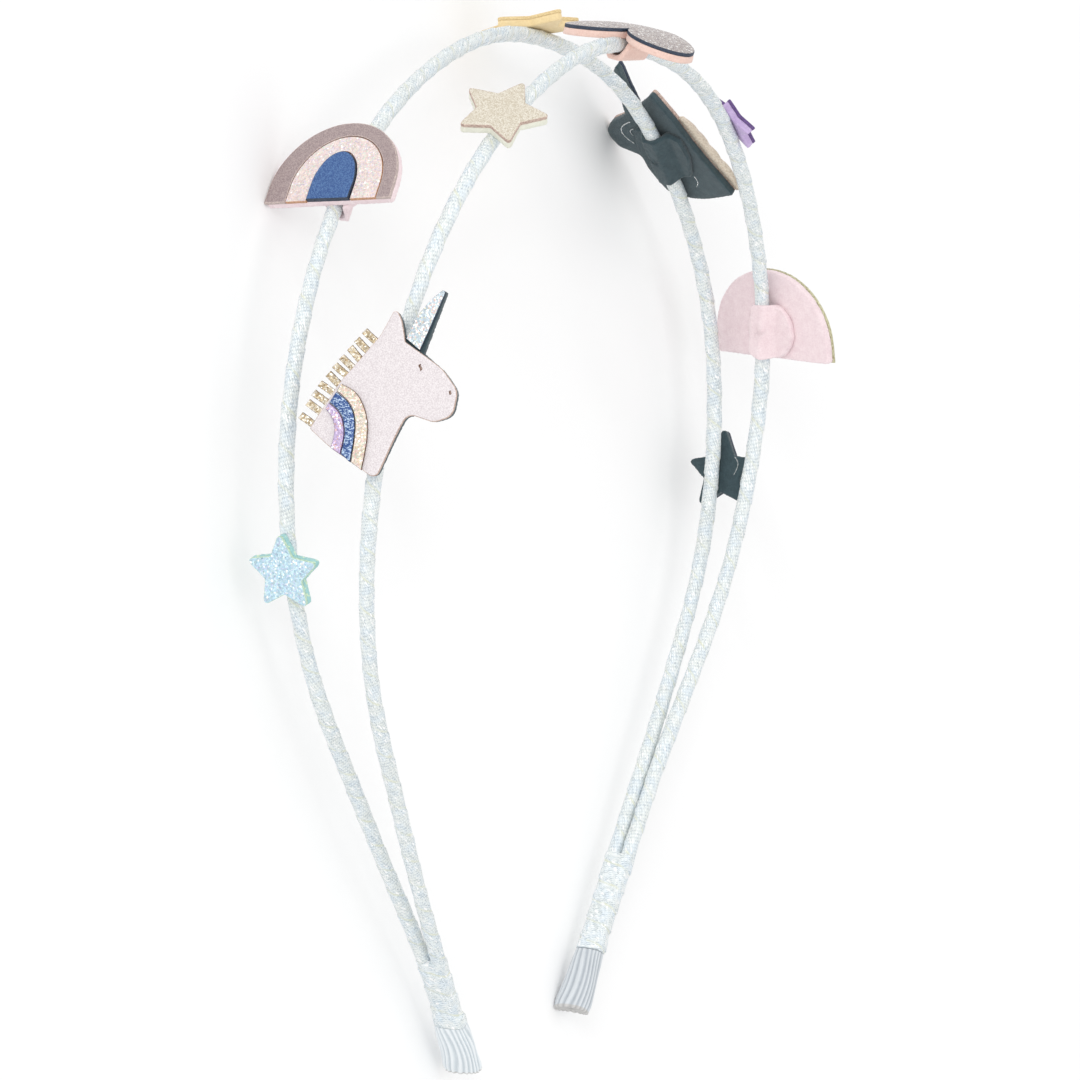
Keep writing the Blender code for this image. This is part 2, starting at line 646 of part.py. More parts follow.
flat_piece("far_unicorn_mane", mane_wave(), SHEET, SHEET_LOW, MANE_SHEET, "far_unicorn")
domed_disc("near_unicorn_tab", "near_unicorn", DARK_FELT, (0.0, 0.0), 4.5)
domed_disc("far_unicorn_tab", "far_unicorn", DARK_FELT, (0.0, 0.0), 4.5)


# ---------------------------------------------------------------- heart
def heart_edge(angle):
    """Rim of the heart for an angle, lobes toward +Y."""
    x = HEART_HALF_WIDTH * math.sin(angle) ** 3
    y = HEART_HEIGHT / 29.0 * (
        13.0 * math.cos(angle) - 5.0 * math.cos(2.0 * angle)
        - 2.0 * math.cos(3.0 * angle) - math.cos(4.0 * angle)
    )
    return x, y


def bent_heart(name, thickness, height, look):
    """Heart that droops away from its middle, as felt does when it is glued over a thin round strand."""

    def lower(x, y):
        return height - (HEART_BEND_ACROSS * x * x + HEART_BEND_ALONG * y * y) / 2.0

    def upper(x, y):
        return lower(x, y) + thickness

    return thick_sheet(name, polar_grid(6, 41, heart_edge), upper, lower, look, "heart")


bent_heart("heart_felt", FELT, FELT_LOW, PINK_FELT)
bent_heart("heart_front", SHEET, SHEET_LOW, ROSE_GLITTER)
domed_disc("heart_disc", "heart", PINK_FELT, (0.6, 0.3), 4.2, (HEART_BEND_ACROSS, HEART_BEND_ALONG))
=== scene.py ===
"""Looks of the double-strand hair band with ten small felt-backed decorations.

Metres, +Z up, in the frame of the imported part. Shapes are worked out in millimetres in the frame of
the band (x across the head, y from tips to crown, z from strand 1 to strand 2) or in the frame of one
decoration (x and y in its sheet, z away from the strand), and placed by one matrix.
"""

import json
import math

import bpy
import numpy as np
from mathutils import Euler, Matrix, Vector
from mathutils.geometry import delaunay_2d_cdt

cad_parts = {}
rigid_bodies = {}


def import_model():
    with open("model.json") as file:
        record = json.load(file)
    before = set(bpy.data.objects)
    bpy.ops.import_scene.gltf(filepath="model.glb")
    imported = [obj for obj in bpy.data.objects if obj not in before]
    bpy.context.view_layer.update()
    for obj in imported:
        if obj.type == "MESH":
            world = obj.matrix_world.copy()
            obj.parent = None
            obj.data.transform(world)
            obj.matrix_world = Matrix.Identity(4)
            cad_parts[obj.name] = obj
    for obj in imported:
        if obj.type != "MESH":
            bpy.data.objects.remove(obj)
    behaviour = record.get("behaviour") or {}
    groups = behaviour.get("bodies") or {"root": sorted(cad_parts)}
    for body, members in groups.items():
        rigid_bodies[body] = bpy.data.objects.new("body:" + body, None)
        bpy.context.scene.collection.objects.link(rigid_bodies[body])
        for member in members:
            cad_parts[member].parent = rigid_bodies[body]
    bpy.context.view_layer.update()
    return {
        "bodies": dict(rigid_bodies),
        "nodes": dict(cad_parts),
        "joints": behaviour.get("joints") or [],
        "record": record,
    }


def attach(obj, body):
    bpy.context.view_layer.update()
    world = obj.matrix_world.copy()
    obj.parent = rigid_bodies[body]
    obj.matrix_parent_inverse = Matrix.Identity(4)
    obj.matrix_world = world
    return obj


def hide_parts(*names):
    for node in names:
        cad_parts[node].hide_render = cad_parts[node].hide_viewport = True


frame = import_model()
MM = 0.001


# ---------------------------------------------------------------- driving sizes, mm
STRAND_RADIUS = 1.05          # wire with its ribbon wrap
STRAND_FIRST, STRAND_LAST = 1.14, 18.70   # stations where the strands leave the joint wraps
STRAND_POINTS = 78
STRAND_LEAST_SPACING = 2.12   # centre to centre where the strands run side by side

JOINT_NEAR = (0.475, 1.11)    # stations of the joint wraps
JOINT_FAR = (18.73, 19.505)
TIP_NEAR = (0.0, 0.455)       # stations of the ribbed tip covers
TIP_FAR = (19.525, 20.0)

FELT = 1.0                    # felt back
SHEET = 0.5                   # leatherette or glitter front sheet
BAND_SHEET = 0.4              # neck bands that lie on a head sheet
STRAND_CLEARANCE = 0.3        # felt back to strand
SHEET_CLEARANCE = 0.12        # sheet to felt, and sheet to sheet in one plane
DISC_RADIUS, DISC_SHEET = 4.0, 1.0        # felt disc that holds a strand to a felt back

# Resting pose of the band frame on the table
REST_PITCH_DEG = 6.74
REST_ROLL_DEG = 1.66
REST_SHIFT = (-1.72, -69.63, 2.898)

# Midline of the band by station: x across the head, y from tips to crown, spacing between the strands
#           x      y     spacing
MIDLINE = (
    (-17.7,  -0.5,  2.12),
    (-27.1,  14.9,  2.12),
    (-37.6,  30.1,  4.1),
    (-47.8,  45.5,  6.5),
    (-57.0,  61.3,  9.0),
    (-61.5,  79.9, 11.8),
    (-59.3,  98.4, 14.1),
    (-50.5, 115.3, 15.9),
    (-36.3, 128.1, 17.0),
    (-18.8, 135.6, 17.1),
    (  0.0, 138.0, 16.1),
    ( 18.5, 134.4, 15.1),
    ( 35.4, 126.9, 13.7),
    ( 49.5, 114.4, 11.7),
    ( 59.5,  98.2,  9.3),
    ( 63.2,  80.2,  7.2),
    ( 59.2,  60.4,  4.9),
    ( 49.8,  45.1,  3.5),
    ( 38.0,  30.5,  2.12),
    ( 26.6,  15.7,  2.12),
    ( 15.4,   0.8,  2.12),
)

# Where each decoration sits: strand, station, then lean, pitch and turn in degrees, then its offset
# across and along the strand and its lift off it in mm
PLACES = {
    "blue_star":    (1,  4.76,  -0.7,   1.1,   -1.1,  0.1,  0.0,  0.0),
    "near_rainbow": (1,  7.61, -11.2,  -9.4,   -0.8,  0.0, -4.65, 0.25),
    "sand_star":    (1, 10.69, -17.2,  -0.4,   98.4, -1.2,  0.0,  0.0),
    "far_unicorn":  (1, 12.96,   9.7,   1.4,  184.8, -0.15, 0.4,  0.0),
    "dark_star":    (1, 15.56,   0.5,   4.0,  176.7,  1.0,  0.0,  0.0),
    "near_unicorn": (2,  6.05,   8.0,   0.0,    0.0,  0.0,  0.0,  0.0),
    "gold_star":    (2,  8.35,  13.2,  -4.0,   69.7, -0.25, 0.0,  0.0),
    "heart":        (2, 10.51,   7.9,  -5.4,  180.7,  0.75, 0.8,  0.25),
    "purple_star":  (2, 12.58,  29.4,   0.2, -178.7, -0.85, 0.0,  0.0),
    "far_rainbow":  (2, 14.44,  16.6,   5.0,  170.3,  0.3,  -5.2, 0.0),
}

STARS = {
    # radius to the points, share of it at the inner corners, rounding of the points
    "blue_star":   (5.7, 0.50, 0.45),
    "gold_star":   (6.5, 0.53, 0.40),
    "sand_star":   (7.7, 0.50, 0.55),
    "dark_star":   (5.8, 0.50, 0.40),
    "purple_star": (4.7, 0.50, 0.25),
}
# extra length of each point, mm, counterclockwise from the top one
STAR_POINTS = {"dark_star": (0.7, -0.5, -0.3, 0.2, -0.2)}

# Rainbow, mm: half width, height, height of the straight foot and sideways shift, from the middle of the lower edge
RAINBOW_OUTER = (10.0, 12.1, 2.3, 0.0)
RAINBOW_MIDDLE = (7.15, 9.9, 2.3, 0.6)
RAINBOW_INNER = (3.4, 7.5, 2.3, 0.2)
RAINBOW_SCALES = {"near_rainbow": 1.0, "far_rainbow": 1.04}

# Heart, mm: half width, height, and how much it droops (1/mm) across and along the strand
HEART_HALF_WIDTH, HEART_HEIGHT = 9.3, 17.2
HEART_BEND_ACROSS, HEART_BEND_ALONG = 0.032, 0.020

# Heads of the unicorns: x, y and corner rounding in mm, clockwise from the ear
#        x      y    rounding
HEAD = (
    (-0.8,  11.3, 0.45),   # ear tip
    ( 0.5,   9.7, 3.0),
    ( 1.35,  7.2, 0.3),    # foot of the ear
    ( 4.1,   6.0, 6.0),    # forehead
    ( 7.3,   4.55, 5.0),   # bridge of the nose
    ( 9.95,  2.15, 2.2),   # nose
    (10.0,  -1.2, 1.8),    # lip
    ( 7.6,  -2.5, 2.0),    # chin
    ( 3.9,  -2.0, 1.3),    # throat
    ( 2.9,  -5.3, 6.0),
    ( 2.2,  -8.3, 6.0),
    ( 1.5, -11.2, 0.9),    # front of the neck
    (-2.1,  -9.65, 8.0),
    (-5.4,  -8.3, 8.0),
    (-8.8,  -6.3, 0.35),   # back of the neck
    (-7.5,  -3.1, 8.0),
    (-6.3,   0.0, 8.0),
    (-4.1,   3.8, 8.0),
    (-2.1,   7.2, 8.0),
)
FAR_HEAD = (
    (-0.6,  11.3, 0.45),   # ear tip
    ( 0.5,   9.9, 3.0),
    ( 1.35,  7.9, 0.3),    # foot of the ear
    ( 3.6,   6.2, 4.0),    # forehead
    ( 6.7,   3.8, 5.0),    # bridge of the nose
    ( 8.5,   2.5, 3.0),
    ( 9.65,  0.7, 2.0),    # nose
    ( 9.55, -1.0, 1.8),    # lip
    ( 8.4,  -2.55, 1.5),   # chin
    ( 6.4,  -2.95, 2.0),
    ( 5.0,  -3.1, 0.9),    # throat
    ( 4.5,  -5.6, 6.0),
    ( 3.5,  -7.7, 6.0),
    ( 2.3,  -9.6, 0.9),    # front of the neck
    (-1.3,  -9.95, 8.0),
    (-4.6,  -8.9, 8.0),
    (-9.4,  -6.35, 0.35),  # back of the neck
    (-8.4,  -4.45, 8.0),
    (-7.1,  -2.2, 8.0),
    (-4.85,  2.3, 8.0),
    (-3.2,   6.4, 8.0),
)
#        x      y    rounding
HORNS = {
    "near_unicorn": (
        ( 1.5,   7.45, 0.15),
        ( 2.25, 10.6, 6.0),
        ( 3.75, 13.3, 6.0),
        ( 5.65, 15.3, 0.3),    # tip
        ( 4.0,   6.3, 0.15),
    ),
    "far_unicorn": (
        ( 1.95,  7.5, 0.15),
        ( 2.7,  11.2, 6.0),
        ( 3.2,  14.0, 4.0),
        ( 3.75, 15.9, 0.35),   # tip
        ( 4.65, 14.6, 0.8),
        ( 5.1,  11.4, 6.0),
        ( 5.15,  8.3, 6.0),
        ( 5.1,   5.3, 0.15),
    ),
}
# Line of the mane along the back of the neck, base to top
MANE = ((-8.8, -6.3), (-7.5, -3.1), (-6.3, 0.0), (-4.1, 3.8), (-2.1, 7.2))
FAR_MANE = ((-9.4, -6.35), (-8.4, -4.45), (-7.1, -2.2), (-4.85, 2.3), (-3.2, 6.4))
MANE_BARS, MANE_BAR_WIDTH, MANE_BAR_LENGTH, MANE_STRIP = 10, 1.05, 2.3, 0.45
MANE_WAVES, MANE_WAVE_DEPTH, MANE_WAVE_WIDTH = 5, 0.3, 1.95
# Neck bands: the curve of each edge from the mane side to the lower edge, outermost first
BAND_EDGES = (
    ((-5.75, 0.15), (-3.3, -0.8), (-1.5, -3.2), (-0.75, -5.7), (-0.55, -8.2), (-0.55, -9.9)),
    ((-6.2, -1.0), (-4.0, -2.3), (-2.8, -4.5), (-2.4, -7.1), (-2.3, -9.2)),
    ((-6.85, -2.6), (-5.1, -3.7), (-4.15, -5.4), (-3.85, -6.9), (-3.85, -8.5)),
    ((-7.2, -3.5), (-5.95, -4.7), (-5.35, -6.4), (-5.4, -7.95)),
)

# Joint wraps and tip covers: share of the length, width across both strands, thickness
#          share width thickness
JOINT_NEAR_SECTIONS = ((0.0, 4.45, 2.5), (0.35, 4.3, 2.45), (0.7, 4.25, 2.12), (1.0, 4.5, 2.35))
JOINT_FAR_SECTIONS = ((0.0, 4.45, 2.35), (0.3, 4.2, 2.12), (0.7, 4.0, 2.12), (1.0, 3.7, 2.4))
TIP_NEAR_SECTIONS = ((0.0, 5.2, 2.1), (0.08, 5.35, 2.5), (0.5, 4.75, 2.7), (0.9, 4.6, 2.75), (1.0, 4.45, 2.5))
TIP_FAR_SECTIONS = ((0.0, 3.9, 2.5), (0.1, 4.2, 2.75), (0.5, 4.6, 2.7), (0.92, 5.2, 2.5), (1.0, 5.0, 2.1))
SECTION_CORNERS = 5



def natural_spline(values):
    """Coefficients of the cubic through values at 0, 1, 2 ... with no curvature at its ends."""
    values = np.asarray(values, float)
    count = len(values)
    system = np.eye(count)
    right = np.zeros(values.shape)
    for i in range(1, count - 1):
        system[i, i - 1:i + 2] = (1.0, 4.0, 1.0)
        right[i] = 6.0 * (values[i - 1] - 2.0 * values[i] + values[i + 1])
    bend = np.linalg.solve(system, right)

    def at(u):
        i = int(min(max(math.floor(u), 0), count - 2))
        f = u - i
        g = 1.0 - f
        return (
            g * values[i] + f * values[i + 1]
            + ((g ** 3 - g) * bend[i] + (f ** 3 - f) * bend[i + 1]) / 6.0
        )

    return at

midline = natural_spline(MIDLINE)


def strand_point(strand, station):
    """Centre of strand 1 or 2, or of the pair for 0, in the band frame."""
    x, y, spacing = midline(station)
    spacing = max(float(spacing), STRAND_LEAST_SPACING)
    side = {0: 0.0, 1: -0.5, 2: 0.5}[strand]
    return Vector((float(x), float(y), side * spacing))


def strand_axes(strand, station):
    """Tangent toward the far leg, outward normal and side direction of a strand at a station."""
    step = 0.01
    tangent = (strand_point(strand, station + step) - strand_point(strand, station - step)).normalized()
    outward = Vector((-tangent.y, tangent.x, 0.0)).normalized()
    side = Vector((0.0, 0.0, 1.0))
    side = (side - tangent * side.dot(tangent)).normalized()
    outward = (outward - tangent * outward.dot(tangent)).normalized()
    return tangent, outward, side


def plaque_matrix(strand, station, lean, pitch, turn, across, along, lift):
    """Frame on the outer side of a strand: x across it, y along it, z outward, origin on its surface."""
    lean, pitch, turn = math.radians(lean), math.radians(pitch), math.radians(turn)
    tangent, outward, side = strand_axes(strand, station)
    x_axis = side * math.cos(lean) - outward * math.sin(lean)
    z_axis = outward * math.cos(lean) + side * math.sin(lean)
    y_axis = tangent * math.cos(pitch) - z_axis * math.sin(pitch)
    z_axis = z_axis * math.cos(pitch) + tangent * math.sin(pitch)
    origin = strand_point(strand, station) + z_axis * (STRAND_RADIUS + lift) + x_axis * across
    turned_x = x_axis * math.cos(turn) + y_axis * math.sin(turn)
    turned_y = y_axis * math.cos(turn) - x_axis * math.sin(turn)
    origin = origin + turned_y * along
    frame = Matrix((turned_x, turned_y, z_axis)).transposed().to_4x4()
    frame.translation = origin * MM
    return frame


def rounded(corners, steps=4):
    """Closed outline through corners (x, y, rounding), each corner replaced by an arc."""
    points = []
    count = len(corners)
    for i, (x, y, radius) in enumerate(corners):
        here = Vector((x, y))
        before = Vector(corners[i - 1][:2]) - here
        after = Vector(corners[(i + 1) % count][:2]) - here
        reach = 0.48 * min(before.length, after.length)
        before.normalize()
        after.normalize()
        half = before.angle(after) / 2.0
        if radius <= 0.0 or half > math.radians(87.5):
            points.append(here)
            continue
        cut = min(radius / math.tan(half), reach)
        radius = cut * math.tan(half)
        centre = here + (before + after).normalized() * (radius / math.sin(half))
        start = here + before * cut - centre
        end = here + after * cut - centre
        sweep = start.angle_signed(end)
        for step in range(steps + 1):
            angle = -sweep * step / steps
            points.append(centre + Vector((
                start.x * math.cos(angle) - start.y * math.sin(angle),
                start.x * math.sin(angle) + start.y * math.cos(angle),
            )))
    return [(p.x, p.y) for p in points]


def star_outline(radius, inner_share, rounding, points=(0.0,) * 5):
    corners = []
    for i in range(10):
        angle = math.radians(90.0 + 36.0 * i)
        length = radius + points[i // 2] if i % 2 == 0 else radius * inner_share
        corners.append((length * math.cos(angle), length * math.sin(angle), rounding if i % 2 == 0 else 0.3))
    return rounded(corners, 3)


def arch(half_width, height, foot, shift, shrink=0.0, steps=28):
    """Half-oval outline on a straight foot, from its right corner round to its left corner."""
    half_width, top = half_width - shrink, height - foot - shrink
    return [
        (shift + half_width * math.cos(math.pi * i / steps), foot + top * math.sin(math.pi * i / steps))
        for i in range(steps + 1)
    ]


def solid_arch(sizes, corner=0.5):
    width, shift = sizes[0], sizes[3]
    curve = [(x, y, 0.0) for x, y in arch(*sizes)]
    return rounded([(shift + width, 0.0, corner)] + curve + [(shift - width, 0.0, corner)], 3)


def arch_band(outer, inner):
    """Band between two arches, leaving a clearance to the inner one."""
    outside = [(outer[3] + outer[0], 0.0)] + arch(*outer) + [(outer[3] - outer[0], 0.0)]
    inner_edge = arch(*inner, shrink=-SHEET_CLEARANCE)
    foot = inner[0] + SHEET_CLEARANCE
    inside = [(inner[3] - foot, 0.0)] + list(reversed(inner_edge)) + [(inner[3] + foot, 0.0)]
    return outside + inside


def smooth_share(value, full, none):
    """1 up to full, 0 from none, eased between."""
    share = min(max((none - value) / (none - full), 0.0), 1.0)
    return share * share * (3.0 - 2.0 * share)


def line_at(points, share):
    """Point and left-hand normal at a share of a polyline's length."""
    points = [Vector(p) for p in points]
    lengths = [(b - a).length for a, b in zip(points, points[1:])]
    left = share * sum(lengths)
    for a, b, length in zip(points, points[1:], lengths):
        if left <= length or b is points[-1]:
            direction = (b - a) / length
            return a + direction * left, Vector((-direction.y, direction.x))
        left -= length


def smooth_line(points, steps=5):
    """Curve through points, read at even steps."""
    at = natural_spline([tuple(p) for p in points])
    last = len(points) - 1
    return [tuple(float(v) for v in at(last * i / (last * steps))) for i in range(last * steps + 1)]


def mane_wave():
    """Strip along the back of the neck with a wavy outer edge."""
    line = smooth_line(FAR_MANE)
    points = []
    for i in range(41):
        share = i / 40.0
        point, normal = line_at(line, share)
        wave = MANE_WAVE_DEPTH * abs(math.sin(math.pi * MANE_WAVES * share))
        fade = min(1.0, 0.45 + 3.0 * min(share, 1.0 - share))
        points.append(point + normal * (SHEET_CLEARANCE + (MANE_WAVE_WIDTH - MANE_WAVE_DEPTH) * fade + wave))
    base = [line_at(line, s / 12.0) for s in range(12, -1, -1)]
    points += [point + normal * SHEET_CLEARANCE for point, normal in base]
    return [(p.x, p.y) for p in points]


def neck_band(outer, inner):
    """Band between two edge curves, leaving a clearance to the next band."""
    outside, inside = smooth_line(outer), smooth_line(inner)
    shrunk = []
    for i in range(len(inside)):
        point, normal = line_at(inside, i / (len(inside) - 1))
        shrunk.append(point + normal * SHEET_CLEARANCE)
    return outside + [(p.x, p.y) for p in reversed(shrunk)]


def heart_edge(angle):
    """Rim of the heart for an angle, lobes toward +Y."""
    x = HEART_HALF_WIDTH * math.sin(angle) ** 3
    y = HEART_HEIGHT / 29.0 * (
        13.0 * math.cos(angle) - 5.0 * math.cos(2.0 * angle)
        - 2.0 * math.cos(3.0 * angle) - math.cos(4.0 * angle)
    )
    return x, y



REST = Matrix.Translation(Vector(REST_SHIFT) * MM) @ Euler(
    (math.radians(REST_PITCH_DEG), math.radians(REST_ROLL_DEG), 0.0), "XYZ").to_matrix().to_4x4()
PLACED = {name: REST @ plaque_matrix(*place) for name, place in PLACES.items()}

# heights in a decoration's frame, mm above the strand's surface
FELT_Z = (0.06, 1.06)
SHEET_Z = (1.06, 1.54)
BAND_Z = (1.54, 1.90)


# ---------------------------------------------------------------- camera
def make_camera():
    theta, tip, roll = 1.1155818539933293, 0.197276995363447, 0.027557319641157683
    distance, shift_x, shift_y, scale = 1499.9709199269762, -4.76477117450708, 3.6594980588845263, 7.370512973934199
    # in the frame (x, side, height) the view looks level along one direction and is then tipped and rolled
    level = np.array([math.sin(theta), -math.cos(theta), 0.0])
    right = np.array([math.cos(theta), math.sin(theta), 0.0])
    up = np.array([0.0, 0.0, 1.0])
    forward = level * math.cos(tip) - up * math.sin(tip)
    up = up * math.cos(tip) + level * math.sin(tip)
    right, up = (right * math.cos(roll) + up * math.sin(roll), up * math.cos(roll) - right * math.sin(roll))
    place = np.array([0.0, 0.0, 69.0]) - right * shift_x / scale + up * shift_y / scale - forward * distance

    def to_world(v, point):
        turned = REST.to_3x3() @ Vector((v[0], v[2], v[1]))
        return turned + REST.translation if point else turned

    data = bpy.data.cameras.new("camera")
    camera = bpy.data.objects.new("camera", data)
    bpy.context.scene.collection.objects.link(camera)
    axes = [to_world(v, False) for v in (right, up, -forward)]
    matrix = Matrix(axes).transposed().to_4x4()
    matrix.translation = REST.to_3x3() @ Vector((place[0], place[2], place[1])) * MM + REST.translation
    camera.matrix_world = matrix
    data.sensor_width = 36.0
    data.lens = 36.0 * scale * distance / 1080.0
    data.clip_start, data.clip_end = 0.05, 50.0
    bpy.context.scene.camera = camera
    return camera


CAMERA = make_camera()
VIEW_RIGHT = CAMERA.matrix_world.to_3x3() @ Vector((1.0, 0.0, 0.0))
VIEW_UP = CAMERA.matrix_world.to_3x3() @ Vector((0.0, 1.0, 0.0))
VIEW_BACK = CAMERA.matrix_world.to_3x3() @ Vector((0.0, 0.0, 1.0))


# ---------------------------------------------------------------- materials
def linear(*rgb):
    """Screen colour 0-255 to linear."""
    out = []
    for c in rgb:
        c = c / 255.0
        out.append(c / 12.92 if c <= 0.04045 else ((c + 0.055) / 1.055) ** 2.4)
    return (*out, 1.0)


class Look:
    """A node material under construction."""

    def __init__(self, name, roughness=0.5, metallic=0.0, **sockets):
        self.material = bpy.data.materials.new(name)
        self.material.use_nodes = True
        self.tree = self.material.node_tree
        self.shader = self.tree.nodes["Principled BSDF"]
        self.shader.inputs["Roughness"].default_value = roughness
        self.shader.inputs["Metallic"].default_value = metallic
        for key, value in sockets.items():
            self.shader.inputs[key.replace("_", " ")].default_value = value
        self.coordinates = None

    def node(self, kind, inputs=(), output=0, **settings):
        made = self.tree.nodes.new(kind)
        for key, value in settings.items():
            setattr(made, key, value)
        for key, value in dict(inputs).items():
            self.put(made.inputs[key], value)
        return made.outputs[output]

    def put(self, socket, value):
        if isinstance(value, bpy.types.NodeSocket):
            self.tree.links.new(value, socket)
        else:
            socket.default_value = value

    def set(self, **values):
        for key, value in values.items():
            self.put(self.shader.inputs[key.replace("_", " ")], value)

    def math(self, operation, a, b=0.0, clamp=False):
        return self.node("ShaderNodeMath", {0: a, 1: b}, operation=operation, use_clamp=clamp)

    def mix(self, factor, a, b, blend="MIX"):
        return self.node("ShaderNodeMix", {0: factor, 6: a, 7: b}, 2, data_type="RGBA", blend_type=blend)

    def ramp(self, factor, stops, interpolation="LINEAR", output=0):
        made = self.tree.nodes.new("ShaderNodeValToRGB")
        ramp = made.color_ramp
        ramp.interpolation = interpolation
        while len(ramp.elements) < len(stops):
            ramp.elements.new(1.0)
        for element, (position, colour) in zip(ramp.elements, stops):
            element.position = position
            element.color = colour if isinstance(colour, tuple) else (colour, colour, colour, 1.0)
        self.put(made.inputs[0], factor)
        return made.outputs[output]

    def place(self, scale=1.0, stretch=(1.0, 1.0, 1.0), turn=(0.0, 0.0, 0.0), shift=(0.0, 0.0, 0.0)):
        """Object coordinates in mm, scaled."""
        if self.coordinates is None:
            self.coordinates = self.node("ShaderNodeTexCoord", output="Object")
        return self.node("ShaderNodeMapping", {
            "Vector": self.coordinates, "Location": shift, "Rotation": turn,
            "Scale": tuple(1000.0 * scale * s for s in stretch)})

    def noise(self, vector, scale=1.0, detail=2.0, rough=0.5, output="Fac", distortion=0.0):
        return self.node("ShaderNodeTexNoise", {
            "Vector": vector, "Scale": scale, "Detail": detail, "Roughness": rough,
            "Distortion": distortion}, output)

    def voronoi(self, vector, scale=1.0, output="Distance", feature="F1", jitter=1.0):
        return self.node("ShaderNodeTexVoronoi", {"Vector": vector, "Scale": scale, "Randomness": jitter},
                         output, feature=feature)

    def split(self, colour, channel):
        return self.node("ShaderNodeSeparateColor", {0: colour}, channel)

    def bump(self, height, strength, distance_mm, normal=None):
        inputs = {"Height": height, "Strength": strength, "Distance": distance_mm * MM}
        if normal is not None:
            inputs["Normal"] = normal
        return self.node("ShaderNodeBump", inputs)

    def tilted(self, colour, amount):
        """Surface normal tilted at random by the cells of a colour pattern."""
        centred = self.node("ShaderNodeVectorMath", {0: colour, 1: (0.5, 0.5, 0.5)}, operation="SUBTRACT")
        scaled = self.node("ShaderNodeVectorMath", {0: centred, "Scale": amount}, operation="SCALE")
        normal = self.node("ShaderNodeNewGeometry", output="Normal")
        total = self.node("ShaderNodeVectorMath", {0: normal, 1: scaled}, operation="ADD")
        return self.node("ShaderNodeVectorMath", {0: total}, operation="NORMALIZE")


def felt(name, light, dark, fleck=None):
    look = Look(name, roughness=0.92, Sheen_Weight=0.25, Sheen_Roughness=0.6)
    look.shader.inputs["Specular IOR Level"].default_value = 0.2
    fine = look.noise(look.place(1.0), 5.5, 5.0, 0.7, distortion=1.2)
    along = look.noise(look.place(1.0, (9.0, 1.3, 2.0), (0.0, 0.0, 0.5)), 1.0, 3.0, 0.6, distortion=2.0)
    across = look.noise(look.place(1.0, (1.3, 9.0, 2.0), (0.0, 0.0, 0.2)), 1.0, 3.0, 0.6, distortion=2.0)
    fibres = look.math("MAXIMUM", along, across)
    blotch = look.noise(look.place(1.0), 0.9, 3.0, 0.6)
    share = look.math("ADD", look.math("MULTIPLY", fine, 0.55), look.math("MULTIPLY", fibres, 0.5))
    share = look.math("ADD", share, look.math("MULTIPLY", blotch, 0.3))
    colour = look.ramp(share, [(0.42, dark), (0.62, tuple(0.5 * (a + b) for a, b in zip(light, dark))), (0.82, light)])
    if fleck is not None:
        spots = look.voronoi(look.place(1.0), 3.2, "Color")
        colour = look.mix(look.ramp(look.split(spots, 0), [(0.86, 0.0), (0.9, 1.0)]), colour, fleck)
    look.set(Base_Color=colour, Normal=look.bump(share, 0.8, 0.10))
    return look.material


def leatherette(name, light, dark, roughness=0.42, metallic=0.15, size=3.6, streak=0.0, glints=None, depth=0.6):
    look = Look(name, roughness=roughness, metallic=metallic)
    warp = look.noise(look.place(1.0), 1.8, 3.0, 0.6, "Color")
    bent = look.mix(0.12, look.place(1.0), warp, "ADD")
    grain = look.voronoi(bent, size, "Distance", "SMOOTH_F1")
    fine = look.noise(look.place(1.0), 9.0, 4.0, 0.7)
    blotch = look.noise(look.place(1.0), 1.3, 4.0, 0.62)
    share = look.math("ADD", look.math("MULTIPLY", grain, -1.1), look.math("MULTIPLY", fine, 0.8))
    share = look.math("ADD", share, look.math("MULTIPLY", blotch, 0.45))
    share = look.math("ADD", share, 0.27)
    if streak:
        lines = look.noise(look.place(1.0, (1.0, 4.2, 1.0), (0.0, 0.0, streak)), 1.2, 3.0, 0.6, distortion=0.4)
        share = look.math("ADD", look.math("MULTIPLY", share, 0.45), look.math("MULTIPLY", lines, 0.85))
        share = look.math("SUBTRACT", share, 0.08)
    low, high = (0.52, 0.68) if streak else (0.25, 0.72)
    middle = tuple(0.5 * (a + b) for a, b in zip(light, dark))
    colour = look.ramp(share, [(low, dark), (0.5 * (low + high), middle), (high, light)])
    if glints is not None:
        spots = look.voronoi(look.place(1.0), 3.4, "Color")
        picked = look.ramp(look.split(spots, 1), [(0.84, 0.0), (0.9, 1.0)])
        colour = look.mix(picked, colour, glints)
    look.set(Base_Color=colour, Normal=look.bump(share, depth, 0.08))
    return look.material


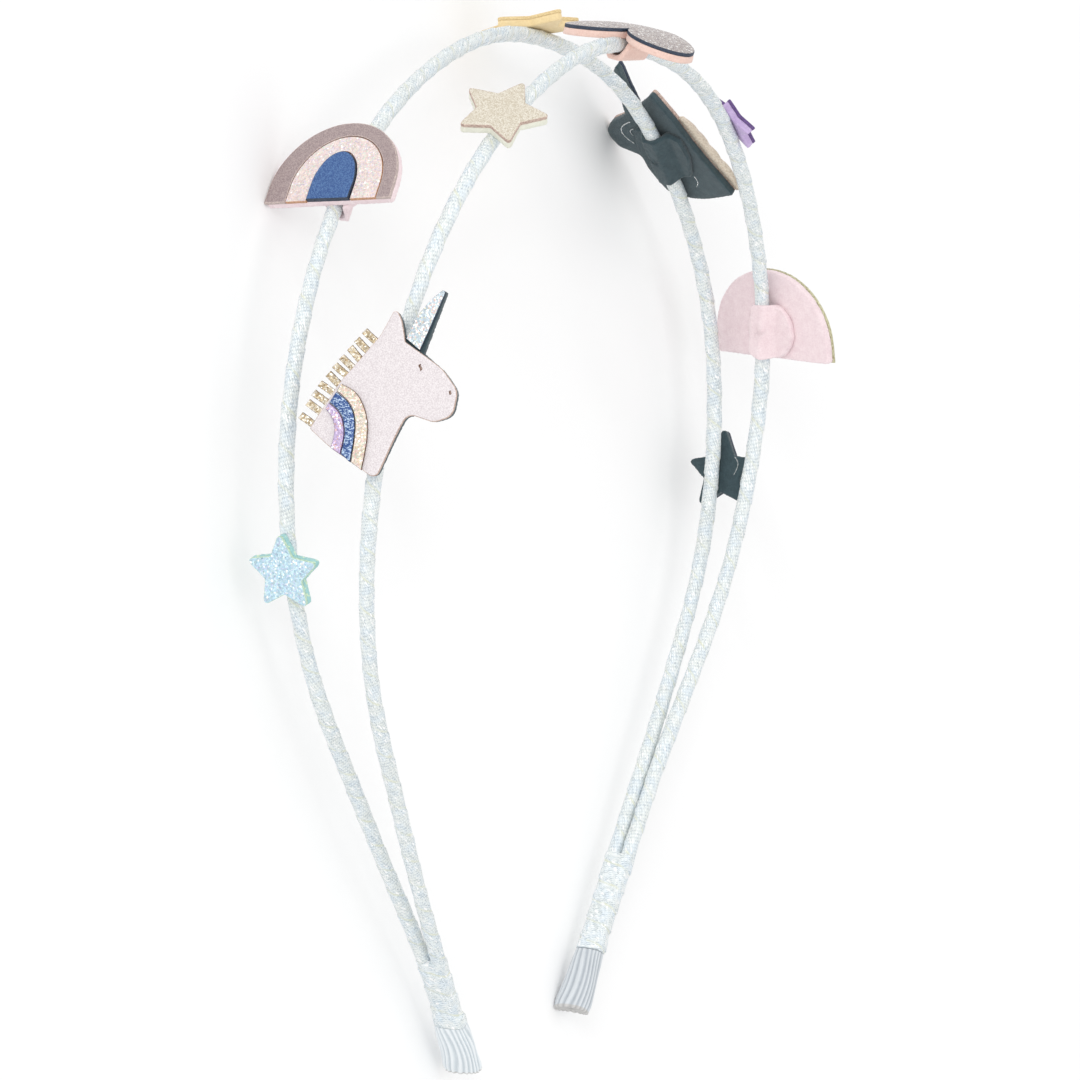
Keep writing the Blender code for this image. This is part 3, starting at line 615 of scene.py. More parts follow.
def glitter(name, tints, painted_glint_colour, gap, size=4.6, big=1.5, metallic=0.4, tilt=0.8, more=0.92, pastel=0.0):
    """Flakes: tints is the ramp of flake colours; the third argument is the colour painted on the brightest flakes and
    on a few big spots as painted glints; gap is the resin between them.
    """
    look = Look(name, roughness=0.3, metallic=metallic)
    cells = look.voronoi(look.place(1.0), size, "Color")
    edge = look.voronoi(look.place(1.0), size, "Distance", "DISTANCE_TO_EDGE")
    large = look.voronoi(look.place(1.0, shift=(3.1, 1.7, 0.4)), big, "Color")
    near = look.voronoi(look.place(1.0, shift=(3.1, 1.7, 0.4)), big, "Distance")
    count = len(tints)
    stops = [(0.14 + 0.72 * i / max(count - 1, 1), tint) for i, tint in enumerate(tints)]
    colour = look.ramp(look.split(cells, 0), stops, "CONSTANT" if not pastel else "LINEAR")
    shade = look.ramp(look.split(cells, 1), [(0.1, 0.84), (0.5, 1.0), (0.95, 1.12)])
    colour = look.mix(1.0, colour, shade, "MULTIPLY")
    # painted glints: a share of the flakes and a few big spots are painted in the glint colour
    painted_glint_mask = look.ramp(look.split(cells, 2), [(more, 0.0), (more + 0.03, 1.0)])
    spot = look.math("MULTIPLY", look.ramp(look.split(large, 0), [(0.80, 0.0), (0.82, 1.0)]),
                     look.ramp(near, [(0.20, 1.0), (0.30, 0.0)]))
    painted_glint_mask = look.math("MAXIMUM", painted_glint_mask, spot, True)
    colour = look.mix(look.ramp(edge, [(0.0, 0.8), (0.07, 0.0)]), colour, gap)
    colour = look.mix(painted_glint_mask, colour, painted_glint_colour)
    rough = look.math("SUBTRACT", 0.42, look.math("MULTIPLY", look.split(cells, 1), 0.22))
    look.set(Base_Color=colour, Roughness=rough,
             Normal=look.bump(edge, 0.35, 0.05, look.tilted(cells, tilt)))
    return look.material


def burnt(name, light, dark):
    look = Look(name, roughness=0.6)
    vector = look.place(1.0, (1.0, 1.0, 2.5))
    patch = look.noise(vector, 3.4, 4.0, 0.65)
    colour = look.ramp(patch, [(0.36, dark), (0.66, light)])
    look.set(Base_Color=colour, Normal=look.bump(patch, 0.5, 0.06))
    return look.material


def knit(name, light, mid, gap, seam, wale=0.62, row=0.27):
    """Knitted metallic ribbon, with painted shade in the grooves and a painted highlight on the raised rows. The map
    gives mm across the ribbon and mm along it.
    """
    look = Look(name, roughness=0.38, metallic=0.1)
    uv = look.node("ShaderNodeUVMap", output="UV", uv_map="ribbon")
    parts = look.tree.nodes.new("ShaderNodeSeparateXYZ")
    look.put(parts.inputs[0], uv)
    across, along = parts.outputs[0], parts.outputs[1]
    wobble = look.noise(look.node("ShaderNodeVectorMath", {0: uv, "Scale": 1.0}, operation="SCALE"), 0.55, 3.0, 0.6)
    wobble = look.math("MULTIPLY", look.math("SUBTRACT", wobble, 0.5), 0.5)
    zig = look.math("PINGPONG", look.math("ADD", along, wobble), wale / 2.0)
    line = look.math("ADD", across, look.math("MULTIPLY", zig, 0.62))
    line = look.math("ADD", line, look.math("MULTIPLY", wobble, 0.35))
    wave = look.math("SINE", look.math("MULTIPLY", line, 2.0 * math.pi / row))
    turn = look.math("ABSOLUTE", look.math("SUBTRACT", look.math("MULTIPLY", zig, 4.0 / wale), 1.0))
    stitch = look.voronoi(look.node("ShaderNodeCombineXYZ", {0: across, 1: along, 2: 0.0}), 3.4, "Color")
    tone = look.noise(look.place(1.0), 0.55, 3.0, 0.6, "Color")
    height = look.math("ADD", look.math("MULTIPLY", wave, 0.5), look.math("MULTIPLY", turn, -0.18))
    # colour by relief height: the gap colour in the grooves as painted shade and the light colour on the raised rows as
    # painted highlight, on top of a random tone per stitch
    painted_relief_shade = look.math("ADD", look.math("MULTIPLY", height, 0.5), 0.5)
    painted_relief_shade = look.math("ADD", painted_relief_shade, look.math("MULTIPLY", look.math("SUBTRACT", look.split(stitch, 0), 0.5), 0.5))
    colour = look.ramp(painted_relief_shade, [(0.05, gap), (0.36, mid), (0.72, light)])
    hue = look.ramp(look.split(tone, 0), [(0.38, linear(232, 240, 248)), (0.5, linear(246, 248, 247)), (0.62, linear(247, 246, 240))])
    colour = look.mix(0.55, colour, hue, "MULTIPLY")
    near_seam = look.ramp(look.math("ABSOLUTE", look.math("SUBTRACT", across, 0.35)), [(0.07, 0.75), (0.24, 0.0)])
    patchy = look.ramp(look.noise(look.place(1.0), 0.8, 2.0, 0.5), [(0.36, 0.15), (0.6, 0.95)])
    colour = look.mix(look.math("MULTIPLY", near_seam, patchy), colour, seam)
    glint = look.ramp(look.split(stitch, 1), [(0.93, 0.0), (0.95, 1.0)])
    colour = look.mix(glint, colour, (1.0, 1.0, 1.0, 1.0))
    rough = look.math("SUBTRACT", 0.46, look.math("MULTIPLY", look.split(stitch, 2), 0.22))
    look.set(Base_Color=colour, Roughness=rough,
             Normal=look.bump(height, 0.55, 0.10, look.tilted(stitch, 0.22)))
    return look.material


def grosgrain(name, light, mid, dark):
    """Ribbed cloth, painted lighter on the top of each rib and darker between the ribs as painted highlight and painted
    shade. The map gives how high on a rib a point is and how far down the cover.
    """
    look = Look(name, roughness=0.45, metallic=0.05)
    uv = look.node("ShaderNodeUVMap", output="UV", uv_map="ribbon")
    parts = look.tree.nodes.new("ShaderNodeSeparateXYZ")
    look.put(parts.inputs[0], uv)
    fine = look.noise(look.place(1.0, (7.0, 1.2, 7.0)), 1.0, 3.0, 0.6)
    blotch = look.noise(look.place(1.0), 0.9, 3.0, 0.6)
    share = look.math("ADD", look.math("MULTIPLY", parts.outputs[0], 0.8), look.math("MULTIPLY", fine, 0.25))
    share = look.math("ADD", share, look.math("MULTIPLY", look.math("SUBTRACT", blotch, 0.5), 0.3))
    # colour by height on the rib: painted shade between the ribs, painted highlight on their tops
    colour = look.ramp(share, [(0.12, dark), (0.48, mid), (0.86, light)])
    hem = look.ramp(parts.outputs[1], [(0.965, 0.0), (0.985, 0.45)])
    colour = look.mix(hem, colour, linear(176, 166, 154))
    look.set(Base_Color=colour, Normal=look.bump(fine, 0.3, 0.05))
    return look.material


def glue(name):
    look = Look(name, roughness=0.12, IOR=1.48, Transmission_Weight=0.55)
    cloud = look.noise(look.place(1.0), 1.4, 3.0, 0.6)
    look.set(Base_Color=look.ramp(cloud, [(0.35, linear(205, 214, 216)), (0.7, linear(244, 246, 244))]),
             Normal=look.bump(cloud, 0.3, 0.1))
    return look.material


RIBBON_PITCH = 4.75
JOINT_PITCH = 3.4
# colour of the painted glints on the brightest glitter flakes
GLINT_WHITE = (1.0, 1.0, 0.98, 1.0)
M = {
    "knit": knit("silver_ribbon_knit", linear(246, 250, 250), linear(230, 237, 239), linear(190, 199, 205),
                 linear(226, 228, 204)),
    "knit_joint": knit("silver_ribbon_knit_joint", linear(248, 251, 252), linear(232, 240, 243),
                       linear(192, 202, 208), linear(222, 224, 198), 0.66, 0.28),
    "rib": grosgrain("white_ribbed_ribbon_cloth", linear(232, 237, 240), linear(218, 225, 229), linear(196, 205, 211)),
    # the far tip cover is the same ribbon, made darker all over as painted shade
    "rib_shaded": grosgrain("shaded_ribbed_ribbon_cloth", linear(208, 213, 217), linear(194, 200, 205), linear(170, 177, 184)),
    "dark_felt": felt("dark_felt_fibres", linear(64, 84, 90), linear(23, 39, 46)),
    "pink_felt": felt("pink_felt_fibres", linear(246, 229, 231), linear(217, 189, 196)),
    "coral_felt": felt("coral_felt_fibres", linear(242, 212, 200), linear(214, 174, 160)),
    "teal_felt": felt("teal_felt_fibres", linear(172, 218, 216), linear(118, 176, 178), linear(212, 234, 200)),
    "lime_felt": felt("pale_lime_felt_fibres", linear(240, 240, 226), linear(204, 204, 186)),
    "sand_felt": felt("sand_felt_fibres", linear(246, 224, 176), linear(220, 192, 138)),
    "purple_felt": felt("purple_felt_fibres", linear(206, 186, 224), linear(160, 130, 188)),
    # the third colour of each glitter is the colour of its painted glints
    "blue_glitter": glitter("blue_glitter_flakes",
                            [linear(188, 218, 234), linear(204, 230, 240), linear(204, 214, 238), linear(206, 234, 240),
                             linear(178, 210, 228), linear(218, 238, 240)],
                            GLINT_WHITE, linear(168, 202, 218), 4.6, 1.3, metallic=0.25, more=0.94),
    "gold_grain": leatherette("gold_leatherette_grain", linear(234, 229, 217), linear(194, 183, 162), 0.4, 0.1,
                              7.0, depth=0.5),
    "sand_sheet": glitter("sand_glitter_flakes",
                          [linear(202, 184, 142), linear(210, 195, 158), linear(196, 176, 134), linear(214, 201, 170)],
                          (1.0, 0.98, 0.9, 1.0), linear(206, 178, 126), 4.6, metallic=0.2, more=0.94),
    "dark_sheet": glitter("dark_glitter_flakes",
                          [linear(40, 56, 66), linear(56, 72, 86), linear(30, 42, 52), linear(74, 90, 104)],
                          linear(200, 214, 226), linear(22, 30, 38), 4.4, more=0.95),
    "purple_sheet": leatherette("purple_leatherette_grain", linear(168, 138, 196), linear(112, 80, 148), 0.4, 0.1, 5.0),
    "mauve": leatherette("mauve_leatherette_grain", linear(180, 163, 160), linear(144, 127, 128), 0.5, 0.05, 6.0,
                         depth=0.35),
    "pink_glitter": glitter("pink_glitter_flakes",
                            [linear(230, 208, 204), linear(214, 222, 208), linear(216, 204, 220), linear(236, 218, 206),
                             linear(222, 200, 200), linear(238, 226, 222)],
                            GLINT_WHITE, linear(212, 194, 188), 5.4, 1.4, metallic=0.1, more=0.96, tilt=0.5),
    "blue_sheet": leatherette("blue_leatherette_grain", linear(84, 121, 170), linear(40, 78, 136), 0.36, 0.15, 6.0,
                              depth=0.25),
    "blue_streaks": leatherette("blue_leatherette_streaks", linear(192, 214, 238), linear(42, 76, 136), 0.36, 0.2, 5.0,
                                streak=0.9, depth=0.4),
    "head": leatherette("pearl_leatherette_grain", linear(231, 225, 226), linear(208, 200, 202), 0.42, 0.1, 6.0,
                        depth=0.3),
    "horn": glitter("silver_glitter_flakes",
                    [linear(196, 210, 220), linear(216, 222, 224), linear(232, 206, 200), linear(186, 200, 210),
                     linear(228, 226, 206), linear(204, 222, 226)],
                    GLINT_WHITE, linear(184, 194, 200), 4.6, 1.4, metallic=0.35, more=0.9),
    "gold_glitter": glitter("gold_glitter_flakes",
                            [linear(190, 172, 140), linear(212, 200, 176), linear(166, 144, 112), linear(222, 212, 192),
                             linear(200, 184, 152), linear(230, 222, 208)],
                            (1.0, 0.98, 0.9, 1.0), linear(146, 120, 82), 4.4, 1.3, metallic=0.35, more=0.9),
    "beige_glitter": glitter("beige_glitter_flakes",
                             [linear(232, 212, 174), linear(238, 220, 186), linear(196, 164, 122), linear(236, 216, 180),
                              linear(242, 228, 198), linear(228, 206, 166)],
                             linear(250, 246, 230), linear(204, 178, 136), 4.6, 1.2, more=0.95, metallic=0.15),
    "peach": glitter("peach_glitter_flakes",
                     [linear(230, 216, 202), linear(234, 204, 200), linear(222, 208, 178), linear(206, 216, 200),
                      linear(238, 228, 218)],
                     GLINT_WHITE, linear(198, 164, 136), 4.8, 1.5, metallic=0.3, more=0.92),
    "lilac": glitter("lilac_glitter_flakes",
                     [linear(202, 186, 220), linear(214, 196, 224), linear(192, 172, 208), linear(228, 186, 180),
                      linear(210, 190, 226)],
                     GLINT_WHITE, linear(168, 144, 186), 4.8, 1.5, metallic=0.3, more=0.93),
    "rose": glitter("rose_glitter_flakes",
                    [linear(176, 166, 163), linear(190, 181, 175), linear(160, 150, 150), linear(202, 193, 185),
                     linear(146, 133, 135)],
                    GLINT_WHITE, linear(160, 146, 148), 5.0, 1.4, metallic=0.3, more=0.92),
    "burnt": burnt("burnt_brown_edge", linear(140, 104, 78), linear(58, 42, 36)),
    "burnt_soft": burnt("burnt_tan_edge", linear(222, 200, 186), linear(150, 122, 112)),
    "burnt_navy": burnt("burnt_navy_edge", linear(60, 74, 96), linear(24, 32, 46)),
    "orange_edge": burnt("orange_brown_edge", linear(222, 176, 140), linear(158, 108, 80)),
    "mauve_edge": burnt("mauve_edge", linear(214, 198, 190), linear(160, 142, 140)),
    "sand_edge": burnt("sand_edge", linear(238, 216, 166), linear(206, 178, 126)),
    "purple_edge": burnt("purple_edge", linear(116, 88, 148), linear(68, 44, 100)),
    "olive_edge": burnt("olive_edge", linear(228, 228, 192), linear(124, 108, 72)),
    "cream_edge": burnt("cream_edge", linear(236, 226, 208), linear(196, 178, 158)),
    "lime_edge": burnt("lime_edge", linear(220, 234, 204), linear(150, 190, 176)),
    "glue": glue("clear_glue"),
}


# ---------------------------------------------------------------- meshes
PIECES = {}


def finished(name, node, verts, faces, materials, picks=None, matrix=None, smooth=True, sharp=None, uv=None):
    """Object from points in mm, riding on the body and standing for a node."""
    mesh = bpy.data.meshes.new(name)
    mesh.from_pydata([tuple(v) for v in (np.asarray(verts, float) * MM)], [], faces)
    for key in materials:
        mesh.materials.append(M[key])
    if picks is not None:
        mesh.polygons.foreach_set("material_index", np.asarray(picks, np.int32))
    flat = np.full(len(mesh.polygons), bool(smooth)) if not hasattr(smooth, "__len__") else np.asarray(smooth, bool)
    mesh.polygons.foreach_set("use_smooth", flat)
    if uv is not None:
        layer = mesh.uv_layers.new(name="ribbon")
        layer.data.foreach_set("uv", np.asarray(uv, np.float32).ravel())
    mesh.update()
    if sharp is not None:
        mesh.set_sharp_from_angle(angle=math.radians(sharp))
    made = bpy.data.objects.new(name, mesh)
    bpy.context.scene.collection.objects.link(made)
    made.matrix_world = matrix if matrix is not None else REST
    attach(made, "root")
    if node is not None:
        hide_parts(*([node] if isinstance(node, str) else node))
    PIECES[name] = made
    return made


def area_of(loop):
    x, y = loop[:, 0], loop[:, 1]
    return 0.5 * float(np.sum(x * np.roll(y, -1) - np.roll(x, -1) * y))


def even(outline, step):
    """Closed outline, counterclockwise, with points no further apart than step; its corners stay."""
    loop = np.asarray([(p[0], p[1]) for p in outline], float)
    if area_of(loop) < 0.0:
        loop = loop[::-1]
    keep = np.linalg.norm(loop - np.roll(loop, 1, axis=0), axis=1) > 0.07
    loop = loop[keep]
    points = []
    for a, b in zip(loop, np.roll(loop, -1, axis=0)):
        count = max(1, int(math.ceil(np.linalg.norm(b - a) / step)))
        for i in range(count):
            points.append(a + (b - a) * i / count)
    return np.asarray(points)


def outward(loop):
    before, after = loop - np.roll(loop, 1, axis=0), np.roll(loop, -1, axis=0) - loop
    before /= np.maximum(np.linalg.norm(before, axis=1)[:, None], 1e-9)
    after /= np.maximum(np.linalg.norm(after, axis=1)[:, None], 1e-9)
    normal = np.stack([before[:, 1] + after[:, 1], -(before[:, 0] + after[:, 0])], axis=1)
    length = np.maximum(np.linalg.norm(normal, axis=1)[:, None], 0.5)
    return normal / length * np.minimum(2.0 / length, 1.3) * 0.5 * length


def ring_noise(count, waves, rng, power=1.0):
    """Smooth closed noise with values about -1 to 1."""
    angle = 2.0 * math.pi * np.arange(count) / count
    total = np.zeros(count)
    for wave in range(1, waves + 1):
        total += rng.normal() * np.cos(wave * angle + rng.uniform(0, 6.28)) / wave ** (power * 0.5)
    return total / max(1e-6, np.abs(total).max())


def inside(points, loop):
    x, y = points[:, 0][:, None], points[:, 1][:, None]
    ax, ay = loop[:, 0][None], loop[:, 1][None]
    bx, by = np.roll(loop[:, 0], -1)[None], np.roll(loop[:, 1], -1)[None]
    crossing = ((ay > y) != (by > y)) & (x < (bx - ax) * (y - ay) / np.where(by == ay, 1e-12, by - ay) + ax)
    return np.sum(crossing, axis=1) % 2 == 1


def fill(loops, cell, rng):
    """Triangles between the first loop and the holes, with scattered points; returns new points and faces."""
    outer = loops[0]
    low, high = outer.min(axis=0), outer.max(axis=0)
    xs, ys = np.arange(low[0], high[0], cell), np.arange(low[1], high[1], cell)
    grid = np.stack(np.meshgrid(xs, ys), axis=-1).reshape(-1, 2)
    grid[:, 0] += (np.round((grid[:, 1] - low[1]) / cell) % 2) * cell * 0.5
    grid = grid + rng.uniform(-0.33, 0.33, grid.shape) * cell
    good = inside(grid, outer)
    for hole in loops[1:]:
        good &= ~inside(grid, hole)
    grid = grid[good]
    rim = np.concatenate(loops)
    if len(grid):
        gap = np.array([np.min(np.sum((rim - p) ** 2, axis=1)) for p in grid])
        grid = grid[gap > (0.5 * cell) ** 2]
    edges, start = [], 0
    for loop in loops:
        count = len(loop)
        edges += [(start + i, start + (i + 1) % count) for i in range(count)]
        start += count
    everything = np.concatenate([rim, grid]) if len(grid) else rim
    verts, _, faces, sources, _, _ = delaunay_2d_cdt([Vector(p) for p in everything], edges, [], 1, 1e-7)
    names = [s[0] if s else -1 for s in sources]
    made = []
    for face in faces:
        centre = sum((verts[i] for i in face), Vector((0.0, 0.0))) / len(face)
        spot = np.array([[centre.x, centre.y]])
        if not inside(spot, outer)[0] or any(inside(spot, hole)[0] for hole in loops[1:]):
            continue
        face = [names[i] for i in face]
        if -1 in face:
            continue
        a, b, c = (everything[i] for i in face)
        turned = (b[0] - a[0]) * (c[1] - a[1]) - (b[1] - a[1]) * (c[0] - a[0])
        made.append(tuple(face) if turned > 0 else tuple(reversed(face)))
    return grid, made


def plate(outline, profile, step=0.18, cell=0.5, seed=1, wobble=0.04, wall_noise=0.0, top_noise=0.0, bottom_noise=None,
          holes=(), hole_depth=0.3, bottom_cell=None, edge_rows=None):
    """Closed plate. profile lists (inset, height) from the bottom rim to the top rim. Returns points, faces and a
    material pick of each face: 0 top, 1 wall, 2 bottom, 3 pockets."""
    rng = np.random.default_rng(seed)
    loop = even(outline, step)
    normal = outward(loop)
    loop = loop + normal * (wobble * ring_noise(len(loop), 24, rng))[:, None]
    count = len(loop)
    verts, faces, picks = [], [], []
    rings = []
    for row, (inset, height) in enumerate(profile):
        noise = wall_noise * rng.normal(size=count) if 0 < row < len(profile) - 1 else np.zeros(count)
        noise = noise + 0.6 * wall_noise * ring_noise(count, 60, rng)
        ring = loop - normal * (inset + noise)[:, None]
        lift = np.zeros(count) + height
        rings.append(len(verts))
        verts += [(x, y, z) for (x, y), z in zip(ring, lift)]
    for row, (a, b) in enumerate(zip(rings, rings[1:])):
        for i in range(count):
            k = (i + 1) % count
            faces.append((a + i, a + k, b + k, b + i))
            picks.append(1)
    top = profile[-1][1]
    rim = np.asarray(verts[rings[-1]:rings[-1] + count])[:, :2]
    hole_loops = [even(h, 0.09)[::-1] for h in holes]
    hole_starts = []
    for hole in hole_loops:
        hole_starts.append(len(verts))
        verts += [(x, y, top) for x, y in hole]
    grid, made = fill([rim] + hole_loops, cell, rng)
    first = len(verts)
    verts += [(x, y, top + top_noise * rng.uniform(-1, 1)) for x, y in grid]
    lookup = list(range(rings[-1], rings[-1] + count))
    for start, hole in zip(hole_starts, hole_loops):
        lookup += list(range(start, start + len(hole)))
    lookup += list(range(first, first + len(grid)))
    for face in made:
        faces.append(tuple(lookup[i] for i in face))
        picks.append(0)
    for start, hole in zip(hole_starts, hole_loops):
        low = len(verts)
        size = len(hole)
        verts += [(x, y, top - hole_depth) for x, y in hole]
        for i in range(size):
            k = (i + 1) % size
            faces.append((start + i, start + k, low + k, low + i))
            picks.append(3)
        _, floor = fill([hole[::-1]], 9.0, rng)
        for face in floor:
            faces.append(tuple(low + size - 1 - i for i in face))
            picks.append(3)
    rim = np.asarray(verts[rings[0]:rings[0] + count])[:, :2]
    grid, made = fill([rim], bottom_cell or max(cell, 1.0), rng)
    first = len(verts)
    amount = top_noise if bottom_noise is None else bottom_noise
    verts += [(x, y, profile[0][1] + amount * rng.uniform(-1, 1)) for x, y in grid]
    lookup = list(range(rings[0], rings[0] + count)) + list(range(first, first + len(grid)))
    for face in made:
        faces.append(tuple(lookup[i] for i in reversed(face)))
        picks.append(2)
    return np.asarray(verts), faces, np.asarray(picks)


def bent(verts, across, along):
    verts = verts.copy()
    verts[:, 2] -= (across * verts[:, 0] ** 2 + along * verts[:, 1] ** 2) / 2.0
    return verts


def glue_string(points, radius):
    """Closed thin string of dried glue through points (x, y, z), mm."""
    knots = np.asarray(points, float)
    at = natural_spline(knots)
    path = np.asarray([at(u) for u in np.linspace(0.0, len(knots) - 1.0, 8 * (len(knots) - 1) + 1)])
    verts, faces, sides = [], [], 8
    for i, place in enumerate(path):
        ahead = path[min(i + 1, len(path) - 1)] - path[max(i - 1, 0)]
        ahead = ahead / max(float(np.linalg.norm(ahead)), 1e-9)
        one = np.cross(ahead, (0.0, 0.0, 1.0))
        one = one / max(float(np.linalg.norm(one)), 1e-9)
        two = np.cross(ahead, one)
        size = radius * (0.8 + 0.3 * math.sin(1.7 * i)) * (0.4 if i in (0, len(path) - 1) else 1.0)
        for k in range(sides):
            angle = 2.0 * math.pi * k / sides
            verts.append(place + (one * math.cos(angle) + two * math.sin(angle)) * size)
    for i in range(len(path) - 1):
        for k in range(sides):
            n = (k + 1) % sides
            faces.append((i * sides + k, (i + 1) * sides + k, (i + 1) * sides + n, i * sides + n))
    faces.append(tuple(range(sides)))
    faces.append(tuple((len(path) - 1) * sides + k for k in reversed(range(sides))))
    return np.asarray(verts), faces


def felt_piece(node, outline, look, plaque, z=FELT_Z, seed=1, bend=None, grow=0.0, strings=()):
    low, high = z
    profile = [(0.16 - grow, low), (0.05 - grow, low + 0.05), (0.0 - grow, low + 0.16), (0.01 - grow, low + 0.38),
               (0.0 - grow, low + 0.58), (0.01 - grow, high - 0.14), (0.05 - grow, high - 0.04), (0.13 - grow, high)]
    verts, faces, picks = plate(outline, profile, 0.16, 0.55, seed, 0.04, 0.022, 0.03, bottom_cell=0.55)
    if bend:
        verts = bent(verts, *bend)
    chosen = [0] * len(faces)
    for points, radius in strings:
        more, sides = glue_string([(x, y, low + lift) for x, y, lift in points], radius)
        faces = list(faces) + [tuple(v + len(verts) for v in face) for face in sides]
        verts = np.concatenate([verts, more])
        chosen += [1] * len(sides)
    return finished(node + "_piece", node, verts, faces, [look, "glue"] if strings else [look],
                    chosen if strings else None, PLACED[plaque], True)


GLUE_STRINGS = {
    # x, y and height over the back face of the felt
    "far_unicorn": (
        (((4.7, 4.0, -0.03), (6.0, 3.0, -0.05), (6.9, 1.6, -0.03), (6.5, 0.2, -0.05), (5.3, -0.7, -0.03)), 0.085),
        (((4.6, 2.6, -0.03), (5.3, 1.9, -0.06), (5.1, 1.0, -0.03)), 0.06),
        (((-3.6, -4.4, -0.03), (-3.9, -5.5, -0.05), (-3.3, -6.7, -0.03)), 0.07),
    ),
    "dark_star": (
        (((-1.9, 2.1, -0.03), (-2.5, 1.0, -0.05), (-1.9, -0.5, -0.03)), 0.08),
        (((1.9, -1.6, -0.03), (2.5, -0.5, -0.05), (2.2, 0.6, -0.03)), 0.08),
    ),
}


def sheet_piece(node, outline, look, plaque, z=SHEET_Z, seed=1, edge="burnt", cell=0.6, flakes=0.0, flat=False,
                bend=None, holes=(), bevel=0.07, shrink=0.0, wobble=0.035, step=0.16, extra=0.0):
    """Front sheet: a cut wall with a slightly molten rim; flakes gives the relief of a glitter face."""
    low, high = z
    thick = high - low
    profile = [(0.03 + shrink, low), (0.0 + shrink, low + 0.25 * thick), (0.0 + shrink, low + 0.7 * thick),
               (0.02 + shrink, high - 0.03), (bevel + shrink, high)]
    verts, faces, picks = plate(outline, profile, step, cell, seed, wobble, 0.008, flakes, 0.0, holes,
                                hole_depth=0.9 * thick)
    if bend:
        verts = bent(verts, *bend)
    rows = picks.copy()
    materials = [look, edge]
    chosen = np.where(rows == 0, 0, 1)
    smooth = np.ones(len(faces), bool)
    if flat:
        smooth = rows != 0
    return finished(node + "_piece", node, verts, faces, materials, chosen, PLACED[plaque], smooth,
                    None if flat else 40)


# ---------------------------------------------------------------- wrapped strands and joints
def centre_line(strand, first, last, count):
    stations = np.linspace(first, last, count)
    places, tangents, outs, sides = [], [], [], []
    for station in stations:
        tangent, out, side = strand_axes(strand, float(station))
        places.append(strand_point(strand, float(station)))
        tangents.append(tangent)
        outs.append(out)
        sides.append(side)
    places = np.asarray([tuple(p) for p in places])
    lengths = np.concatenate([[0.0], np.cumsum(np.linalg.norm(np.diff(places, axis=0), axis=1))])
    return stations, lengths, places, np.asarray([tuple(t) for t in tangents]), \
        np.asarray([tuple(o) for o in outs]), np.asarray([tuple(s) for s in sides])


def resampled(lengths, values, where):
    return np.stack([np.interp(where, lengths, values[:, i]) for i in range(values.shape[1])], axis=1)


def turns_of(length, pitch, rng, vary=0.16):
    """Wrap count along a length, with an uneven pitch."""
    steps = np.arange(0.0, length + 2.0, 0.5)
    rate = np.zeros(len(steps))
    for _ in range(9):
        rate += rng.normal() * np.sin(steps / rng.uniform(4.0, 26.0) + rng.uniform(0, 6.28))
    rate = 1.0 + vary * rate / max(1e-6, np.abs(rate).max())
    turns = np.concatenate([[0.0], np.cumsum(rate[:-1] * 0.5)]) / pitch
    return lambda s: np.interp(s, steps, turns)


def knit_relief(across, along, wale, row):
    zig = np.abs((along / (wale / 2.0)) % 2.0 - 1.0) * wale / 2.0
    return np.sin(2.0 * math.pi * (across + 0.62 * zig) / row)


